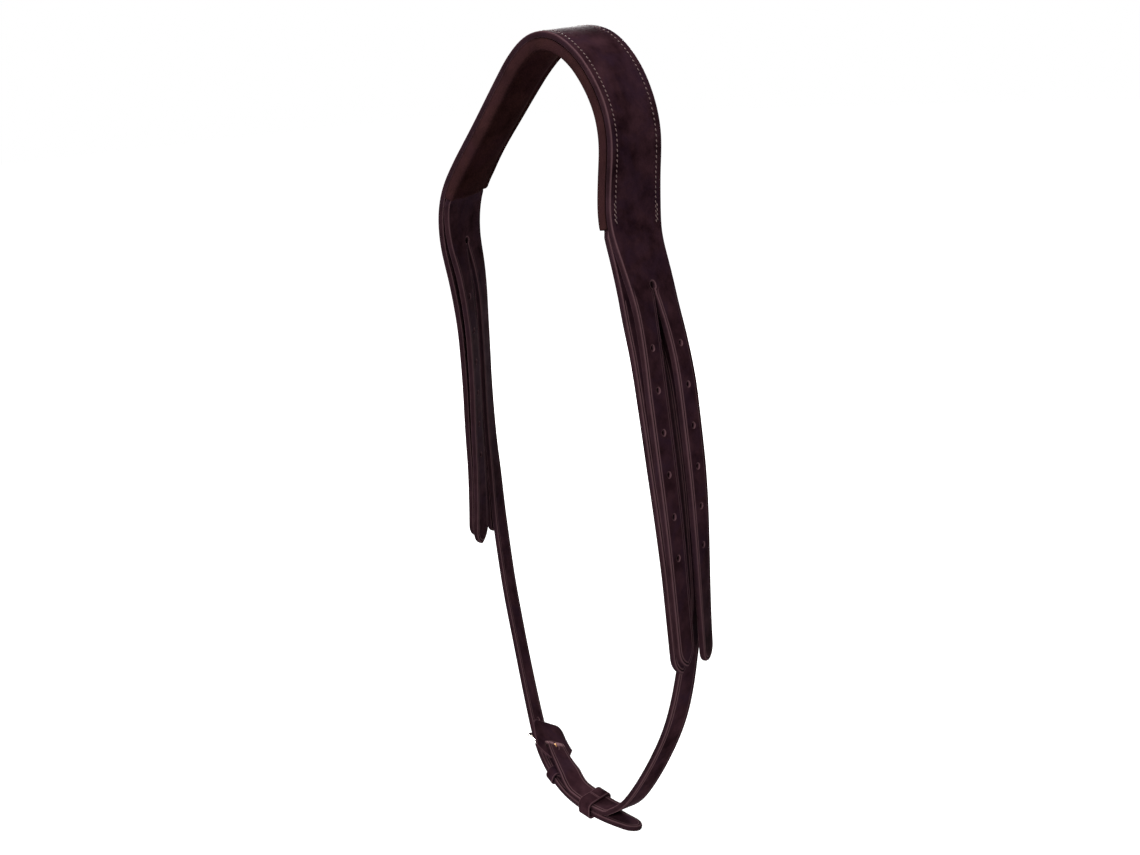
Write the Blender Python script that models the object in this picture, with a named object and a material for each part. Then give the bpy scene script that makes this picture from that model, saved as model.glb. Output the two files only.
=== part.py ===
# Headpiece of a double bridle: a padded crown strap with split billets and a buckled throatlash.
# Units are metres. The horse faces -Y, so +X is its left side and +Y its neck; +Z is up.
# The origin is the seat on the poll, under the middle of the pad.

import math

import bmesh
import bpy
import numpy as np
from mathutils import Matrix, Vector

COLLECTION = "double_bridle_headpiece"

# Leather
OUTER_LEATHER = 0.003
INNER_LEATHER = 0.003
EDGE_ROUND = 0.0007
SEAT_GAP = 0.0003
CROWN_WIDTH = 0.036
BILLET_WIDTH = 0.014

# Lengths along the leather, from the middle of the poll outwards
PAD_HALF = 0.110
SPLIT_DROP = 0.0285
FIRST_HOLE = 0.029
HOLE_PITCH = 0.020
HOLE_COUNT = 6
TIP_LENGTH = 0.056
INNER_EXTRA = 0.0045
REAR_EXTRA = 0.0065

# The punched hole that stops the split, and the split below it
SPLIT_HOLE = 0.0032
SPLIT_SLIT = 0.0008
SPLIT_ROOT = 0.0045
SPLIT_FLARE = 0.040
POINT_LENGTH = 0.011
ROUND_LENGTH = 0.007

# Buckle holes, oval along the strap
HOLE_WIDTH = 0.003
HOLE_LENGTH = 0.0042

# Poll pad
PAD_SKIN = 0.0011
PAD_DEPTH = 0.0045
PAD_MARGIN = 0.0042
PAD_END_EASE = 0.014
PAD_STEP = 0.006

# Throatlash, measured from the split's round hole
THROAT_WIDTH = 0.014
THROAT_LONG = 0.4212
BUCKLE_REACH = 0.339
SHORT_REACH = 0.3756
THROAT_HOLES = 4
THROAT_HOLES_ABOVE = 1
TONGUE_HOLE_LENGTH = 0.0062
TONGUE_HOLE_WIDTH = 0.0036
HOLE_TO_BAR = 0.0038

# The turn of the short strap round the buckle's bar
TURN_LEATHER = 0.0016
TURN_PLY = 0.024
TURN_EASE = 0.014
TURN_SLOT = 0.0028
TURN_SLOT_REACH = 0.0045
BESIDE_GAP = 0.0007

# Buckle
BAR_RADIUS = 0.001
FRAME_RADIUS = 0.0011
FRAME_LENGTH = 0.015
FRAME_SIDE_PLAY = 0.00075
FRAME_CORNER = 0.0032
TONGUE_RADIUS = 0.0008
TONGUE_PLAY = 0.00025

# Guard behind the buckle
SAFE_LEATHER = 0.0012
SAFE_HALF_WIDTH = 0.015
SAFE_ABOVE = 0.019
SAFE_BELOW = 0.012
SAFE_CORNER = 0.004
SAFE_STEP = 0.0035

# Keepers
KEEPER_LEATHER = 0.0013
KEEPER_WIDTH = 0.007
KEEPER_PLAY = 0.00035
RUNNER_OUTER_PLAY = 0.0006
KEEPER_PLACE = 0.0178
RUNNER_LEATHER = 0.0015
RUNNER_WIDTH = 0.009
RUNNER_SIDE_PLAY = 0.0007
RUNNER_INNER_PLAY = 0.0011
RUNNER_PLACE = 0.0505
RUNNER_EASE = 0.009

# How far the two layers stand apart below the pad, and where the left rear straps tuck in
LEFT_SPREAD = 0.004
RIGHT_SPREAD = 0.002
REAR_TUCK = 0.0012
REAR_CLOSING = 0.001
THROAT_CLOSING = 0.0035
FREE_EASE = 0.030
TILT_REACH = 0.030

# How finely a route is worked out, and how the leather's sharpest bends are eased
ROUTE_STEP = 0.0005
BEND_EASE = 0.014
BILLET_STEP = 0.009
BESIDE_STEP = 0.0065
CROWN_STEP = 0.005
CUT_OVERRUN = 0.002
WELD = 0.00001

# Bend stations: share of the strap's length, drop below level, sway to the rear, twist, in degrees
LEFT_ARM_SHARES = (
    (0.00, 0, 0, 3), (0.05, 34, -3, 11), (0.10, 52, -4, 10), (0.16, 67, -5, 7),
    (0.24, 92, -7, 7), (0.32, 86, -8, 9), (0.37, 66, -7, 3), (0.46, 71, -7, -1),
    (0.58, 78, -8, 7), (0.70, 79, -8, 6), (0.84, 84, -4, 3), (1.02, 86, -1, 0),
)
RIGHT_ARM_SHARES = (
    (0.00, 0, 0, -3), (0.05, 35, 1, 6), (0.10, 47, 1, 10), (0.16, 49, 1, 12),
    (0.24, 49, -1, 14), (0.32, 58, -2, 11), (0.37, 74, 1, 12.5), (0.46, 91, 8, 18.5),
    (0.58, 82, 8, 24.5), (0.70, 85, 3, 24.5), (0.84, 88, 3, 20.5), (1.02, 85, 1, 9),
)
LONG_STRAP_SHARES = (
    (0.0, 88, 2, 12), (0.1, 92.5, 1, 11), (0.2, 99.5, -5.5, 12), (0.3, 110, -12.5, 14),
    (0.4, 118, -19, 18), (0.5, 128.5, -26.5, 21), (0.6, 141, -32.5, 26), (0.7, 162.5, -27.5, 37),
    (0.8, 179, -18, 56), (0.9, 179.5, -6.5, 74.5), (1.0, 176, 9.5, 90.5),
)
SHORT_STRAP_SHARES = (
    (0.0, 100.5, 0.5, 2), (0.1, 99.5, 1, 7.5), (0.2, 99.5, 0.5, 13), (0.3, 103, -2.5, 17),
    (0.4, 109.5, -8, 19), (0.5, 113.5, -11.5, 21), (0.6, 120.5, -9, 23.5), (0.7, 156, -1, 27),
    (0.8, 189.5, 9, 35), (0.9, 216, 18, 47), (1.0, 240, 26.5, 60.5),
)
# Share of the arm's length, and share of its greatest spread reached there
SPREAD_SHARES = ((0.36, 0.0), (0.47, 1.0), (0.58, 0.65), (0.70, 0.45), (0.86, 0.05), (1.0, 0.0))
# Share of the arm's length where the left rear straps start to tuck in, and their turn in degrees
TUCK_START_SHARE = 0.68
REAR_TURN = 12
# Degrees by which the crown's rear edge is raised over the poll
POLL_TILT = 3.5
# Share of the arm's length where the throat straps leave the billets
LEAVE_SHARE = 0.93
# How much shallower the pad's filling is at its ends
PAD_END_DROP_SHARE = 0.5
# Places across the filled width, from the middle to a stitch line, and the filling's depth there
PAD_FILL_SHARES = ((0.0, 1.0), (0.35, 0.97), (0.62, 0.84), (0.82, 0.60), (0.94, 0.32), (1.0, 0.0))
# The tongue's shank: shares of its way to the front bar and of its rise to it
TONGUE_SHARES = (
    (0.02, 0.17), (0.06, 0.33), (0.14, 0.49), (0.25, 0.64), (0.40, 0.80), (0.61, 0.93),
    (0.82, 0.99), (1.0, 1.0), (1.2, 0.985),
)
TONGUE_TIP_SHARE = 0.6
# The tongue's eye: its turn round the bar in degrees, and its steps
EYE_TURN = 270
EYE_STEPS = 12
# Share of the guard's stretch below the bar that keeps its full width
SAFE_WIDE_SHARE = 0.35
# Rounding of a loop's edges, as a share of its leather
LOOP_EDGE_SHARE = 0.22
# Number of steps in the split's taper and in the turn round the bar
SPLIT_POINTS = 4
TURN_STEPS = 8

ARM_LENGTH = PAD_HALF + SPLIT_DROP + FIRST_HOLE + (HOLE_COUNT - 1) * HOLE_PITCH + TIP_LENGTH
SPLIT_AT = PAD_HALF + SPLIT_DROP
ROOT_AT = SPLIT_AT + SPLIT_ROOT
LAYER_DROP = OUTER_LEATHER / 2 + SEAT_GAP + INNER_LEATHER / 2
PAD_TOP = -(LAYER_DROP + INNER_LEATHER / 2 + SEAT_GAP)
SEAT_DEPTH = -PAD_TOP + PAD_DEPTH
PAD_FILL_HALF = CROWN_WIDTH / 2 - PAD_MARGIN
BILLET_CENTRE = (CROWN_WIDTH - BILLET_WIDTH) / 2
CROWN_LINES = (-CROWN_WIDTH / 6, CROWN_WIDTH / 6)
THROAT_END = SPLIT_AT + THROAT_LONG
BUCKLE_AT = SPLIT_AT + BUCKLE_REACH
SHORT_AT = SPLIT_AT + SHORT_REACH
THROAT_BESIDE = THROAT_END - BUCKLE_AT

# Levels through the buckle, measured outwards from the middle of the long strap
TURN_OUTER = -(INNER_LEATHER / 2 + SEAT_GAP)
TURN_INSIDE = TURN_OUTER - TURN_LEATHER
BAR_LEVEL = TURN_INSIDE - SEAT_GAP - BAR_RADIUS
SAFE_TOP = BAR_LEVEL - BAR_RADIUS - SEAT_GAP
MAIN_TOP = SAFE_TOP - SAFE_LEATHER - SEAT_GAP
TURN_RADIUS = (TURN_INSIDE - MAIN_TOP + TURN_LEATHER) / 2
TURN_CENTRE = (TURN_INSIDE + MAIN_TOP) / 2
FRONT_LEVEL = INNER_LEATHER / 2 + SEAT_GAP + FRAME_RADIUS
FRAME_HALF = THROAT_WIDTH / 2 + FRAME_SIDE_PLAY + BAR_RADIUS

COLOURS = {
    "dark_leather": ((0.055, 0.024, 0.028, 1.0), 0.42, 0.0),
    "soft_leather": ((0.075, 0.034, 0.036, 1.0), 0.5, 0.0),
    "foam": ((0.62, 0.56, 0.44, 1.0), 0.95, 0.0),
    "steel": ((0.78, 0.77, 0.74, 1.0), 0.22, 1.0),
    "brass": ((0.80, 0.58, 0.24, 1.0), 0.28, 1.0),
}


def eased(x):
    x = np.clip(x, 0, 1)
    return x * x * (3 - 2 * x)


def unit(rows):
    return rows / np.linalg.norm(rows, axis=-1, keepdims=True)


class Route:
    """A strap's centre line, with its run, its across and its outward direction at each step."""

    def __init__(self, distances, points, run, across, outward):
        self.distances = distances
        self.points = points
        self.run = run
        self.across = across
        self.outward = outward

    def read(self, rows, along):
        return np.stack([np.interp(along, self.distances, rows[:, i]) for i in range(3)], -1)

    def place(self, along, across, out):
        along = np.asarray(along, float)
        shift = np.asarray(across, float)[..., None] * self.read(self.across, along)
        lift = np.asarray(out, float)[..., None] * self.read(self.outward, along)
        return self.read(self.points, along) + shift + lift

    def shifted(self, across, out, turn=0.0):
        """The same route moved sideways and outwards, and turned about its own run."""
        across = np.broadcast_to(across, self.distances.shape)
        out = np.broadcast_to(out, self.distances.shape)
        points = self.place(self.distances, across, out)
        angle = np.radians(np.broadcast_to(turn, self.distances.shape))[:, None]
        side = self.across * np.cos(angle) + self.outward * np.sin(angle)
        lift = self.outward * np.cos(angle) - self.across * np.sin(angle)
        return Route(self.distances, points, self.run, side, lift)

    def frame(self, along):
        """A matrix whose X is the run, Y the way across and Z the way out."""
        across = Vector(self.read(self.across, along)).normalized()
        run = Vector(self.read(self.run, along))
        run = (run - across * run.dot(across)).normalized()
        outward = run.cross(across)
        if outward.dot(Vector(self.read(self.outward, along))) < 0:
            run = -run
            outward = -outward
        matrix = Matrix((run, across, outward)).transposed().to_4x4()
        matrix.translation = Vector(self.read(self.points, along))
        return matrix


def bend_route(shares, start, length, reach, side, begin):
    """Bends a strap from its stations: its direction turns evenly from one to the next."""
    count = int(round(length / ROUTE_STEP)) + 1
    travelled = np.linspace(0, length, count)
    table = np.array(shares, float)
    window = int(round(BEND_EASE / ROUTE_STEP)) // 2
    kernel = np.ones(2 * window + 1) / (2 * window + 1)
    angles = []
    for column in (1, 2, 3):
        raw = np.interp(travelled / reach, table[:, 0], table[:, column])
        padded = np.pad(raw, window, mode="reflect", reflect_type="odd")
        angles.append(np.radians(np.convolve(padded, kernel, mode="valid")))
    drop, sway, twist = angles
    level = side * np.cos(drop) * np.cos(sway)
    run = np.stack([level, np.sin(sway), -np.sin(drop) * np.cos(sway)], -1)
    step = length / (count - 1)
    points = np.concatenate([[[0, 0, 0]], np.cumsum((run[1:] + run[:-1]) / 2 * step, 0)]) + begin
    across = np.stack([side * np.sin(twist), np.cos(twist), 0 * twist], -1)
    across = unit(across - (across * run).sum(1, keepdims=True) * run)
    outward = np.cross(run, across) * side
    return Route(travelled + start, points, run, across, outward)


def tilted(route):
    """Raises the crown's rear edge over the poll."""
    return route.shifted(0.0, 0.0, POLL_TILT * (1 - eased(route.distances / TILT_REACH)))


def joined(first, second, seam):
    """One route that follows the first up to the seam and the second from there."""
    keep = first.distances < seam - ROUTE_STEP / 2
    rest = second.distances >= seam - ROUTE_STEP / 2
    rows = []
    for name in ("distances", "points", "run", "across", "outward"):
        rows.append(np.concatenate([getattr(first, name)[keep], getattr(second, name)[rest]]))
    return Route(*rows)


def crown_route(right, left):
    """The whole crown, from the right tips (negative distances) over the poll to the left."""
    rows = [np.concatenate([-right.distances[:0:-1], left.distances])]
    for name in ("points", "run", "across", "outward"):
        sign = -1 if name == "run" else 1
        rows.append(np.concatenate([sign * getattr(right, name)[:0:-1], getattr(left, name)]))
    return Route(*rows)


def layer_spread(distances, most):
    """How far the inner layer stands away from the outer one at each distance from the poll."""
    table = np.array(SPREAD_SHARES)
    place = np.abs(distances) / ARM_LENGTH
    window = int(round(BEND_EASE / ROUTE_STEP)) // 2
    kernel = np.ones(2 * window + 1) / (2 * window + 1)
    raw = np.interp(place, table[:, 0], table[:, 1])
    return most * np.convolve(np.pad(raw, window, mode="edge"), kernel, mode="valid")


def tuck_amount(distances):
    """How far the left rear straps have closed up to the front billet: from 0 to 1 at their tips."""
    start = TUCK_START_SHARE * ARM_LENGTH
    return eased((distances - start) / (ARM_LENGTH - start))


def turned_to_meet(free, partner, seam):
    """Turns the start of a free stretch so that its width carries on from the strap above it."""
    wanted = partner.read(partner.across, seam)
    angle = math.degrees(
        math.atan2(wanted.dot(free.read(free.outward, seam)), wanted.dot(free.read(free.across, seam)))
    )
    fade = 1 - eased((free.distances - seam) / FREE_EASE)
    return free.shifted(0.0, 0.0, angle * fade)


def long_strap_route(inner):
    """The right throatlash strap: down the inner layer, then free under the cheek to its tip."""
    leave = LEAVE_SHARE * ARM_LENGTH
    run = THROAT_END + CUT_OVERRUN - leave
    start = inner.place(leave, 0.0, 0.0)
    free = bend_route(LONG_STRAP_SHARES, leave, run, THROAT_END - leave, -1, start)
    return joined(inner, turned_to_meet(free, inner, leave), leave)


def short_strap_route(inner, long_strap):
    """The left throatlash strap: down the inner layer, across to the buckle and round its bar."""
    leave = LEAVE_SHARE * ARM_LENGTH
    run = SHORT_AT - leave
    start = inner.place(leave, 0.0, 0.0)
    free = turned_to_meet(bend_route(SHORT_STRAP_SHARES, leave, run, run, 1, start), inner, leave)
    # Drawn to the long strap's line where the two run together
    back = SHORT_AT - free.distances
    partner = BUCKLE_AT + back
    target = long_strap.place(partner, 0 * back, turn_level(back))
    together = RUNNER_PLACE + RUNNER_WIDTH
    weight = eased((RUNNER_EASE + together - back) / RUNNER_EASE)[:, None]
    points = free.points * (1 - weight) + target * weight
    width = free.across * (1 - weight) + long_strap.read(long_strap.across, partner) * weight
    run = unit(np.gradient(points, axis=0))
    across = unit(width - (width * run).sum(1, keepdims=True) * run)
    free = Route(free.distances, points, run, across, np.cross(run, across))
    return joined(joined(inner, free, leave), turned_end(long_strap), SHORT_AT)


def turn_level(back):
    """Level of the short strap's middle under the long one, at a distance back from the bar."""
    thickness = short_thickness(SHORT_AT - back)
    beside = -(INNER_LEATHER / 2 + BESIDE_GAP) - thickness / 2
    at_bar = MAIN_TOP - TURN_LEATHER / 2
    weight = eased((back - TURN_PLY) / TURN_EASE)
    return at_bar * (1 - weight) + beside * weight


def short_thickness(along):
    """The short strap is thinned where it turns round the bar."""
    weight = eased((SHORT_AT - np.asarray(along, float) - TURN_PLY) / TURN_EASE)
    return TURN_LEATHER * (1 - weight) + INNER_LEATHER * weight


def turned_end(long_strap):
    """The half circle round the bar and the ply that runs back under the long strap."""
    half_circle = math.pi * TURN_RADIUS
    count = int(round((half_circle + TURN_PLY) / ROUTE_STEP)) + 1
    travelled = np.linspace(0, half_circle + TURN_PLY, count)
    matrix = long_strap.frame(BUCKLE_AT)
    towards = -np.array(long_strap.read(long_strap.run, BUCKLE_AT))
    across = np.array(matrix.col[1][:3])
    outward = np.array(long_strap.read(long_strap.outward, BUCKLE_AT))
    centre = long_strap.place(BUCKLE_AT, 0.0, TURN_CENTRE)
    angle = np.minimum(travelled / TURN_RADIUS, math.pi)[:, None]
    round_points = centre + TURN_RADIUS * (np.sin(angle) * towards - np.cos(angle) * outward)
    past = np.clip(travelled - half_circle, 0, None)
    level = np.full(count, TURN_CENTRE + TURN_RADIUS)
    flat_points = long_strap.place(BUCKLE_AT + past, 0 * past, level)
    flat = (travelled > half_circle)[:, None]
    points = np.where(flat, flat_points, round_points)
    run_flat = long_strap.read(long_strap.run, BUCKLE_AT + past)
    out_flat = -long_strap.read(long_strap.outward, BUCKLE_AT + past)
    run = np.where(flat, run_flat, np.cos(angle) * towards + np.sin(angle) * outward)
    lift = np.where(flat, out_flat, np.cos(angle) * outward - np.sin(angle) * towards)
    side = np.where(flat, long_strap.read(long_strap.across, BUCKLE_AT + past), across)
    return Route(travelled + SHORT_AT, points, run, side, lift)


def clear_scene():
    for thing in list(bpy.data.objects):
        bpy.data.objects.remove(thing, do_unlink=True)


def make_material(name):
    colour, roughness, metallic = COLOURS[name]
    material = bpy.data.materials.new(name)
    material.use_nodes = True
    shader = material.node_tree.nodes["Principled BSDF"]
    shader.inputs["Base Color"].default_value = colour
    shader.inputs["Roughness"].default_value = roughness
    shader.inputs["Metallic"].default_value = metallic
    return material


def finish_object(name, mesh, material, matrix=None):
    """Links a mesh, already in world places, as one object whose origin is the matrix's."""
    if matrix is not None:
        mesh.transform(matrix.inverted())
    thing = bpy.data.objects.new(name, mesh)
    if matrix is not None:
        thing.matrix_world = matrix
    mesh.materials.append(make_material(material))
    mesh.materials[0].name = name + "_" + material
    mesh.shade_smooth()
    mesh.set_sharp_from_angle(angle=math.radians(40))
    bpy.data.collections[COLLECTION].objects.link(thing)
    return thing


def flat_pattern(outlines, thickness, edge):
    """Cuts a piece of sheet flat: the first outline is its edge and the others are holes."""
    curve = bpy.data.curves.new("pattern", "CURVE")
    curve.dimensions = "2D"
    curve.fill_mode = "BOTH"
    curve.extrude = thickness / 2 - edge
    curve.bevel_depth = edge
    curve.bevel_resolution = 0
    curve.offset = -edge
    for index, outline in enumerate(outlines):
        spline = curve.splines.new("POLY")
        spline.points.add(len(outline) - 1)
        ordered = wound(outline, index == 0)
        for point, (along, across) in zip(spline.points, ordered):
            point.co = (along, across, 0, 1)
        spline.use_cyclic_u = True
    holder = bpy.data.objects.new("pattern", curve)
    bpy.context.scene.collection.objects.link(holder)
    depsgraph = bpy.context.evaluated_depsgraph_get()
    mesh = bpy.data.meshes.new_from_object(holder.evaluated_get(depsgraph))
    bpy.data.objects.remove(holder, do_unlink=True)
    bpy.data.curves.remove(curve)
    shape = bmesh.new()
    shape.from_mesh(mesh)
    bpy.data.meshes.remove(mesh)
    bmesh.ops.remove_doubles(shape, verts=shape.verts, dist=WELD)
    return shape


def wound(outline, counter_clockwise):
    area = 0.0
    for (x0, y0), (x1, y1) in zip(outline, outline[1:] + outline[:1]):
        area += x0 * y1 - x1 * y0
    return outline if (area > 0) == counter_clockwise else outline[::-1]


def face_outwards(shape):
    bmesh.ops.recalc_face_normals(shape, faces=shape.faces)
    if shape.calc_volume(signed=True) < 0:
        bmesh.ops.reverse_faces(shape, faces=shape.faces)


def bent(shape, route, lines, lengthwise=(), thickness=None):
    """Scores a flat piece at the given lines and bends it along a route."""
    scores = [((line, 0, 0), (1, 0, 0)) for line in lines]
    scores += [((0, line, 0), (0, 1, 0)) for line in lengthwise]
    for spot, square_to in scores:
        geometry = shape.verts[:] + shape.edges[:] + shape.faces[:]
        cut = bmesh.ops.bisect_plane(
            shape, geom=geometry, dist=WELD, plane_co=spot, plane_no=square_to
        )
        for thing in cut["geom_cut"]:
            if isinstance(thing, bmesh.types.BMEdge):
                thing.seam = True
    bmesh.ops.remove_doubles(shape, verts=shape.verts, dist=WELD)
    bmesh.ops.dissolve_limit(
        shape, angle_limit=math.radians(1), verts=shape.verts, edges=shape.edges, delimit={"SEAM"}
    )
    bmesh.ops.triangulate(shape, faces=shape.faces)
    flat = np.array([vertex.co[:] for vertex in shape.verts])
    lift = flat[:, 2]
    if thickness is not None:
        lift = thickness(flat[:, 0], lift)
    places = route.place(flat[:, 0], flat[:, 1], lift)
    for vertex, place in zip(shape.verts, places):
        vertex.co = place
    face_outwards(shape)
    mesh = bpy.data.meshes.new("bent")
    shape.to_mesh(mesh)
    shape.free()
    return mesh


def lines_between(start, end, step):
    count = max(1, int(round(abs(end - start) / step)))
    return [start + (end - start) * i / count for i in range(1, count)]


def oval(along, length, width, sides=8):
    """An oval hole on the strap's middle line, longer along it."""
    points = []
    for i in range(sides):
        angle = 2 * math.pi * (i + 0.5) / sides
        points.append((along + length / 2 * math.cos(angle), width / 2 * math.sin(angle)))
    return points


def pointed_tip(end, length, half, steps=4):
    """Half widths of a pointed end, cut with two equal arcs: pairs of distance and half width."""
    radius = (half * half + length * length) / (2 * half)
    pairs = []
    for i in range(steps + 1):
        reach = length * i / steps
        pairs.append((end - length + reach, math.sqrt(radius * radius - reach * reach) - radius + half))
    return pairs


def rounded_tip(end, length, half, steps=4):
    """Half widths of a round end."""
    pairs = []
    for i in range(steps + 1):
        angle = math.pi / 2 * i / steps
        pairs.append((end - length + length * math.sin(angle), half * math.cos(angle)))
    return pairs


def billet_outline(root, end, tip, side, width=BILLET_WIDTH):
    """A billet's cut edge about its own centre: as wide as the split allows, then tapered."""
    length, cut = tip
    half = width / 2
    outer = CROWN_WIDTH / 2 - BILLET_CENTRE
    slit = BILLET_CENTRE - SPLIT_SLIT / 2
    outline = [(root, outer)]
    outline += cut(end, length, half)
    outline += [(along, -across) for along, across in cut(end, length, half)[-2::-1]]
    for i in range(SPLIT_POINTS, -1, -1):
        share = i / SPLIT_POINTS
        outline.append((root + SPLIT_FLARE * share, -half - (slit - half) * (1 - share) ** 2))
    return [(along, side * across) for along, across in outline]


def buckle_holes(first, count):
    return [oval(first + i * HOLE_PITCH, HOLE_LENGTH, HOLE_WIDTH) for i in range(count)]


def make_crown_layer(name, route, thickness):
    """A crown layer between the two splits, with the round hole and the start of each slit."""
    slit = SPLIT_SLIT / 2
    radius = SPLIT_HOLE / 2
    half = CROWN_WIDTH / 2
    open_angle = math.asin(slit / radius)
    keyhole = []
    steps = 8
    for i in range(steps + 1):
        angle = open_angle + (2 * math.pi - 2 * open_angle) * i / steps
        keyhole.append((SPLIT_AT + radius * math.cos(angle), radius * math.sin(angle)))
    keyhole = [(ROOT_AT, slit)] + keyhole + [(ROOT_AT, -slit)]
    left = [(ROOT_AT, half)] + keyhole + [(ROOT_AT, -half)]
    right = [(-along, -across) for along, across in left]
    shape = flat_pattern([left + right], thickness, EDGE_ROUND)
    lines = lines_between(-SPLIT_AT, SPLIT_AT, CROWN_STEP)
    return finish_object(name, bent(shape, route, lines, CROWN_LINES), "dark_leather")


def make_billet(name, route, side, end, lift, tip):
    """A billet with its punched holes. Its origin is on the line it bends about, at its root."""
    root = ROOT_AT + SEAT_GAP
    punched = buckle_holes(SPLIT_AT + FIRST_HOLE, HOLE_COUNT)
    shape = flat_pattern([billet_outline(root, end, tip, side)] + punched, OUTER_LEATHER, EDGE_ROUND)
    matrix = route.frame(root)
    matrix.translation = Vector(route.place(root, 0.0, lift))
    mesh = bent(shape, route, lines_between(root, end, BILLET_STEP))
    return finish_object(name, mesh, "dark_leather", matrix)


def beside_lines(bar, way):
    """The lines that both throatlash straps are bent at where they lie together."""
    return [bar + way * distance for distance in lines_between(0.0, THROAT_BESIDE, BESIDE_STEP)]


def make_long_strap(route):
    """The right throatlash strap, with its punched holes and round tip."""
    root = ROOT_AT + SEAT_GAP
    holes = []
    for i in range(THROAT_HOLES):
        along = BUCKLE_AT - HOLE_TO_BAR + (i - THROAT_HOLES_ABOVE) * HOLE_PITCH
        used = i == THROAT_HOLES_ABOVE
        length = TONGUE_HOLE_LENGTH if used else HOLE_LENGTH
        width = TONGUE_HOLE_WIDTH if used else HOLE_WIDTH
        holes.append(oval(along, length, width))
    outline = billet_outline(root, THROAT_END, (ROUND_LENGTH, rounded_tip), 1, THROAT_WIDTH)
    shape = flat_pattern([outline] + holes, INNER_LEATHER, EDGE_ROUND)
    lines = lines_between(root, BUCKLE_AT, BILLET_STEP) + [BUCKLE_AT] + beside_lines(BUCKLE_AT, 1)
    return finish_object("throat_strap_long", bent(shape, route, lines), "dark_leather")


def make_short_strap(route):
    """The left throatlash strap, thinned and slotted where it turns round the buckle's bar."""
    root = ROOT_AT + SEAT_GAP
    turned = SHORT_AT + math.pi * TURN_RADIUS
    end = turned + TURN_PLY
    outline = billet_outline(root, end, (ROUND_LENGTH, rounded_tip), 1, THROAT_WIDTH)
    slot = TURN_SLOT / 2
    first = SHORT_AT - TURN_SLOT_REACH
    last = turned + TURN_SLOT_REACH
    cut = [(first, -slot), (first, slot), (last, slot), (last, -slot)]
    shape = flat_pattern([outline, cut], INNER_LEATHER, EDGE_ROUND)
    beside = SHORT_AT - THROAT_BESIDE
    lines = lines_between(root, beside, BILLET_STEP) + [beside] + beside_lines(SHORT_AT, -1) + [SHORT_AT]
    lines += lines_between(SHORT_AT, turned, (turned - SHORT_AT) / TURN_STEPS) + [turned]
    lines += lines_between(turned, end, BILLET_STEP)

    def thinned(along, lift):
        return lift * short_thickness(along) / INNER_LEATHER

    mesh = bent(shape, route, lines, thickness=thinned)
    return finish_object("throat_strap_short", mesh, "dark_leather")


def fill_profile(thickness):
    """The underside of the pad's filled part, drawn a thickness above it: across and depth."""
    half = []
    for across_share, depth_share in PAD_FILL_SHARES[::-1]:
        depth = PAD_SKIN + (PAD_DEPTH - PAD_SKIN) * depth_share - thickness
        if depth >= 0:
            half.append((across_share * PAD_FILL_HALF, -depth))
    return [(-across, depth) for across, depth in half] + half[-2::-1]


def profile_block(profile, start, end):
    """A block with the profile as its cross-section, extruded along the crown."""
    shape = bmesh.new()
    ring = [shape.verts.new((start, across, depth)) for across, depth in profile]
    face = shape.faces.new(ring)
    made = bmesh.ops.extrude_face_region(shape, geom=[face], use_keep_orig=True)
    moved = [thing for thing in made["geom"] if isinstance(thing, bmesh.types.BMVert)]
    bmesh.ops.translate(shape, verts=moved, vec=(end - start, 0, 0))
    face_outwards(shape)
    return shape


def temporary_object(name, shape, collection):
    mesh = bpy.data.meshes.new(name)
    shape.to_mesh(mesh)
    shape.free()
    thing = bpy.data.objects.new(name, mesh)
    bpy.data.collections[collection].objects.link(thing)
    return thing


def make_pad(route):
    """The pad's leather lining, flat at its sewn edges, and the filling that lies in it."""
    edge = CROWN_WIDTH / 2
    outline = [(-edge, 0.0), (-edge, -PAD_SKIN)] + fill_profile(0.0) + [(edge, -PAD_SKIN), (edge, 0.0)]
    block = temporary_object("pad_block", profile_block(outline, -PAD_HALF, PAD_HALF), COLLECTION)
    room = fill_profile(PAD_SKIN)
    opening = [(room[-1][0], CUT_OVERRUN), (room[0][0], CUT_OVERRUN)]
    hollow = profile_block(room + opening, PAD_SKIN - PAD_HALF, PAD_HALF - PAD_SKIN)
    cutter = temporary_object("pad_hollow_cutter", hollow, "cutters")
    cutter.hide_render = True
    cutter.display_type = "WIRE"
    cut = block.modifiers.new("hollow", "BOOLEAN")
    cut.operation = "DIFFERENCE"
    cut.object = cutter
    depsgraph = bpy.context.evaluated_depsgraph_get()
    mesh = bpy.data.meshes.new_from_object(block.evaluated_get(depsgraph))
    bpy.data.objects.remove(block, do_unlink=True)
    skin = bmesh.new()
    skin.from_mesh(mesh)
    bpy.data.meshes.remove(mesh)
    lines = lines_between(-PAD_HALF, PAD_HALF, PAD_STEP)

    def lowered(along, lift):
        ease = eased((PAD_HALF - np.abs(along)) / PAD_END_EASE)
        filling = np.minimum(lift + PAD_SKIN, 0)
        return PAD_TOP + lift - filling * PAD_END_DROP_SHARE * (1 - ease)

    mesh = bent(skin, route, lines, CROWN_LINES, thickness=lowered)
    finish_object("pad_lining", mesh, "soft_leather")
    inside = fill_profile(PAD_SKIN + SEAT_GAP)
    top = [(inside[-1][0], 0.0), (inside[0][0], 0.0)]
    foam_half = PAD_HALF - PAD_SKIN - SEAT_GAP
    foam = profile_block(inside + top, -foam_half, foam_half)
    mesh = bent(foam, route, lines, CROWN_LINES, thickness=lowered)
    finish_object("pad_foam", mesh, "foam")


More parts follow.
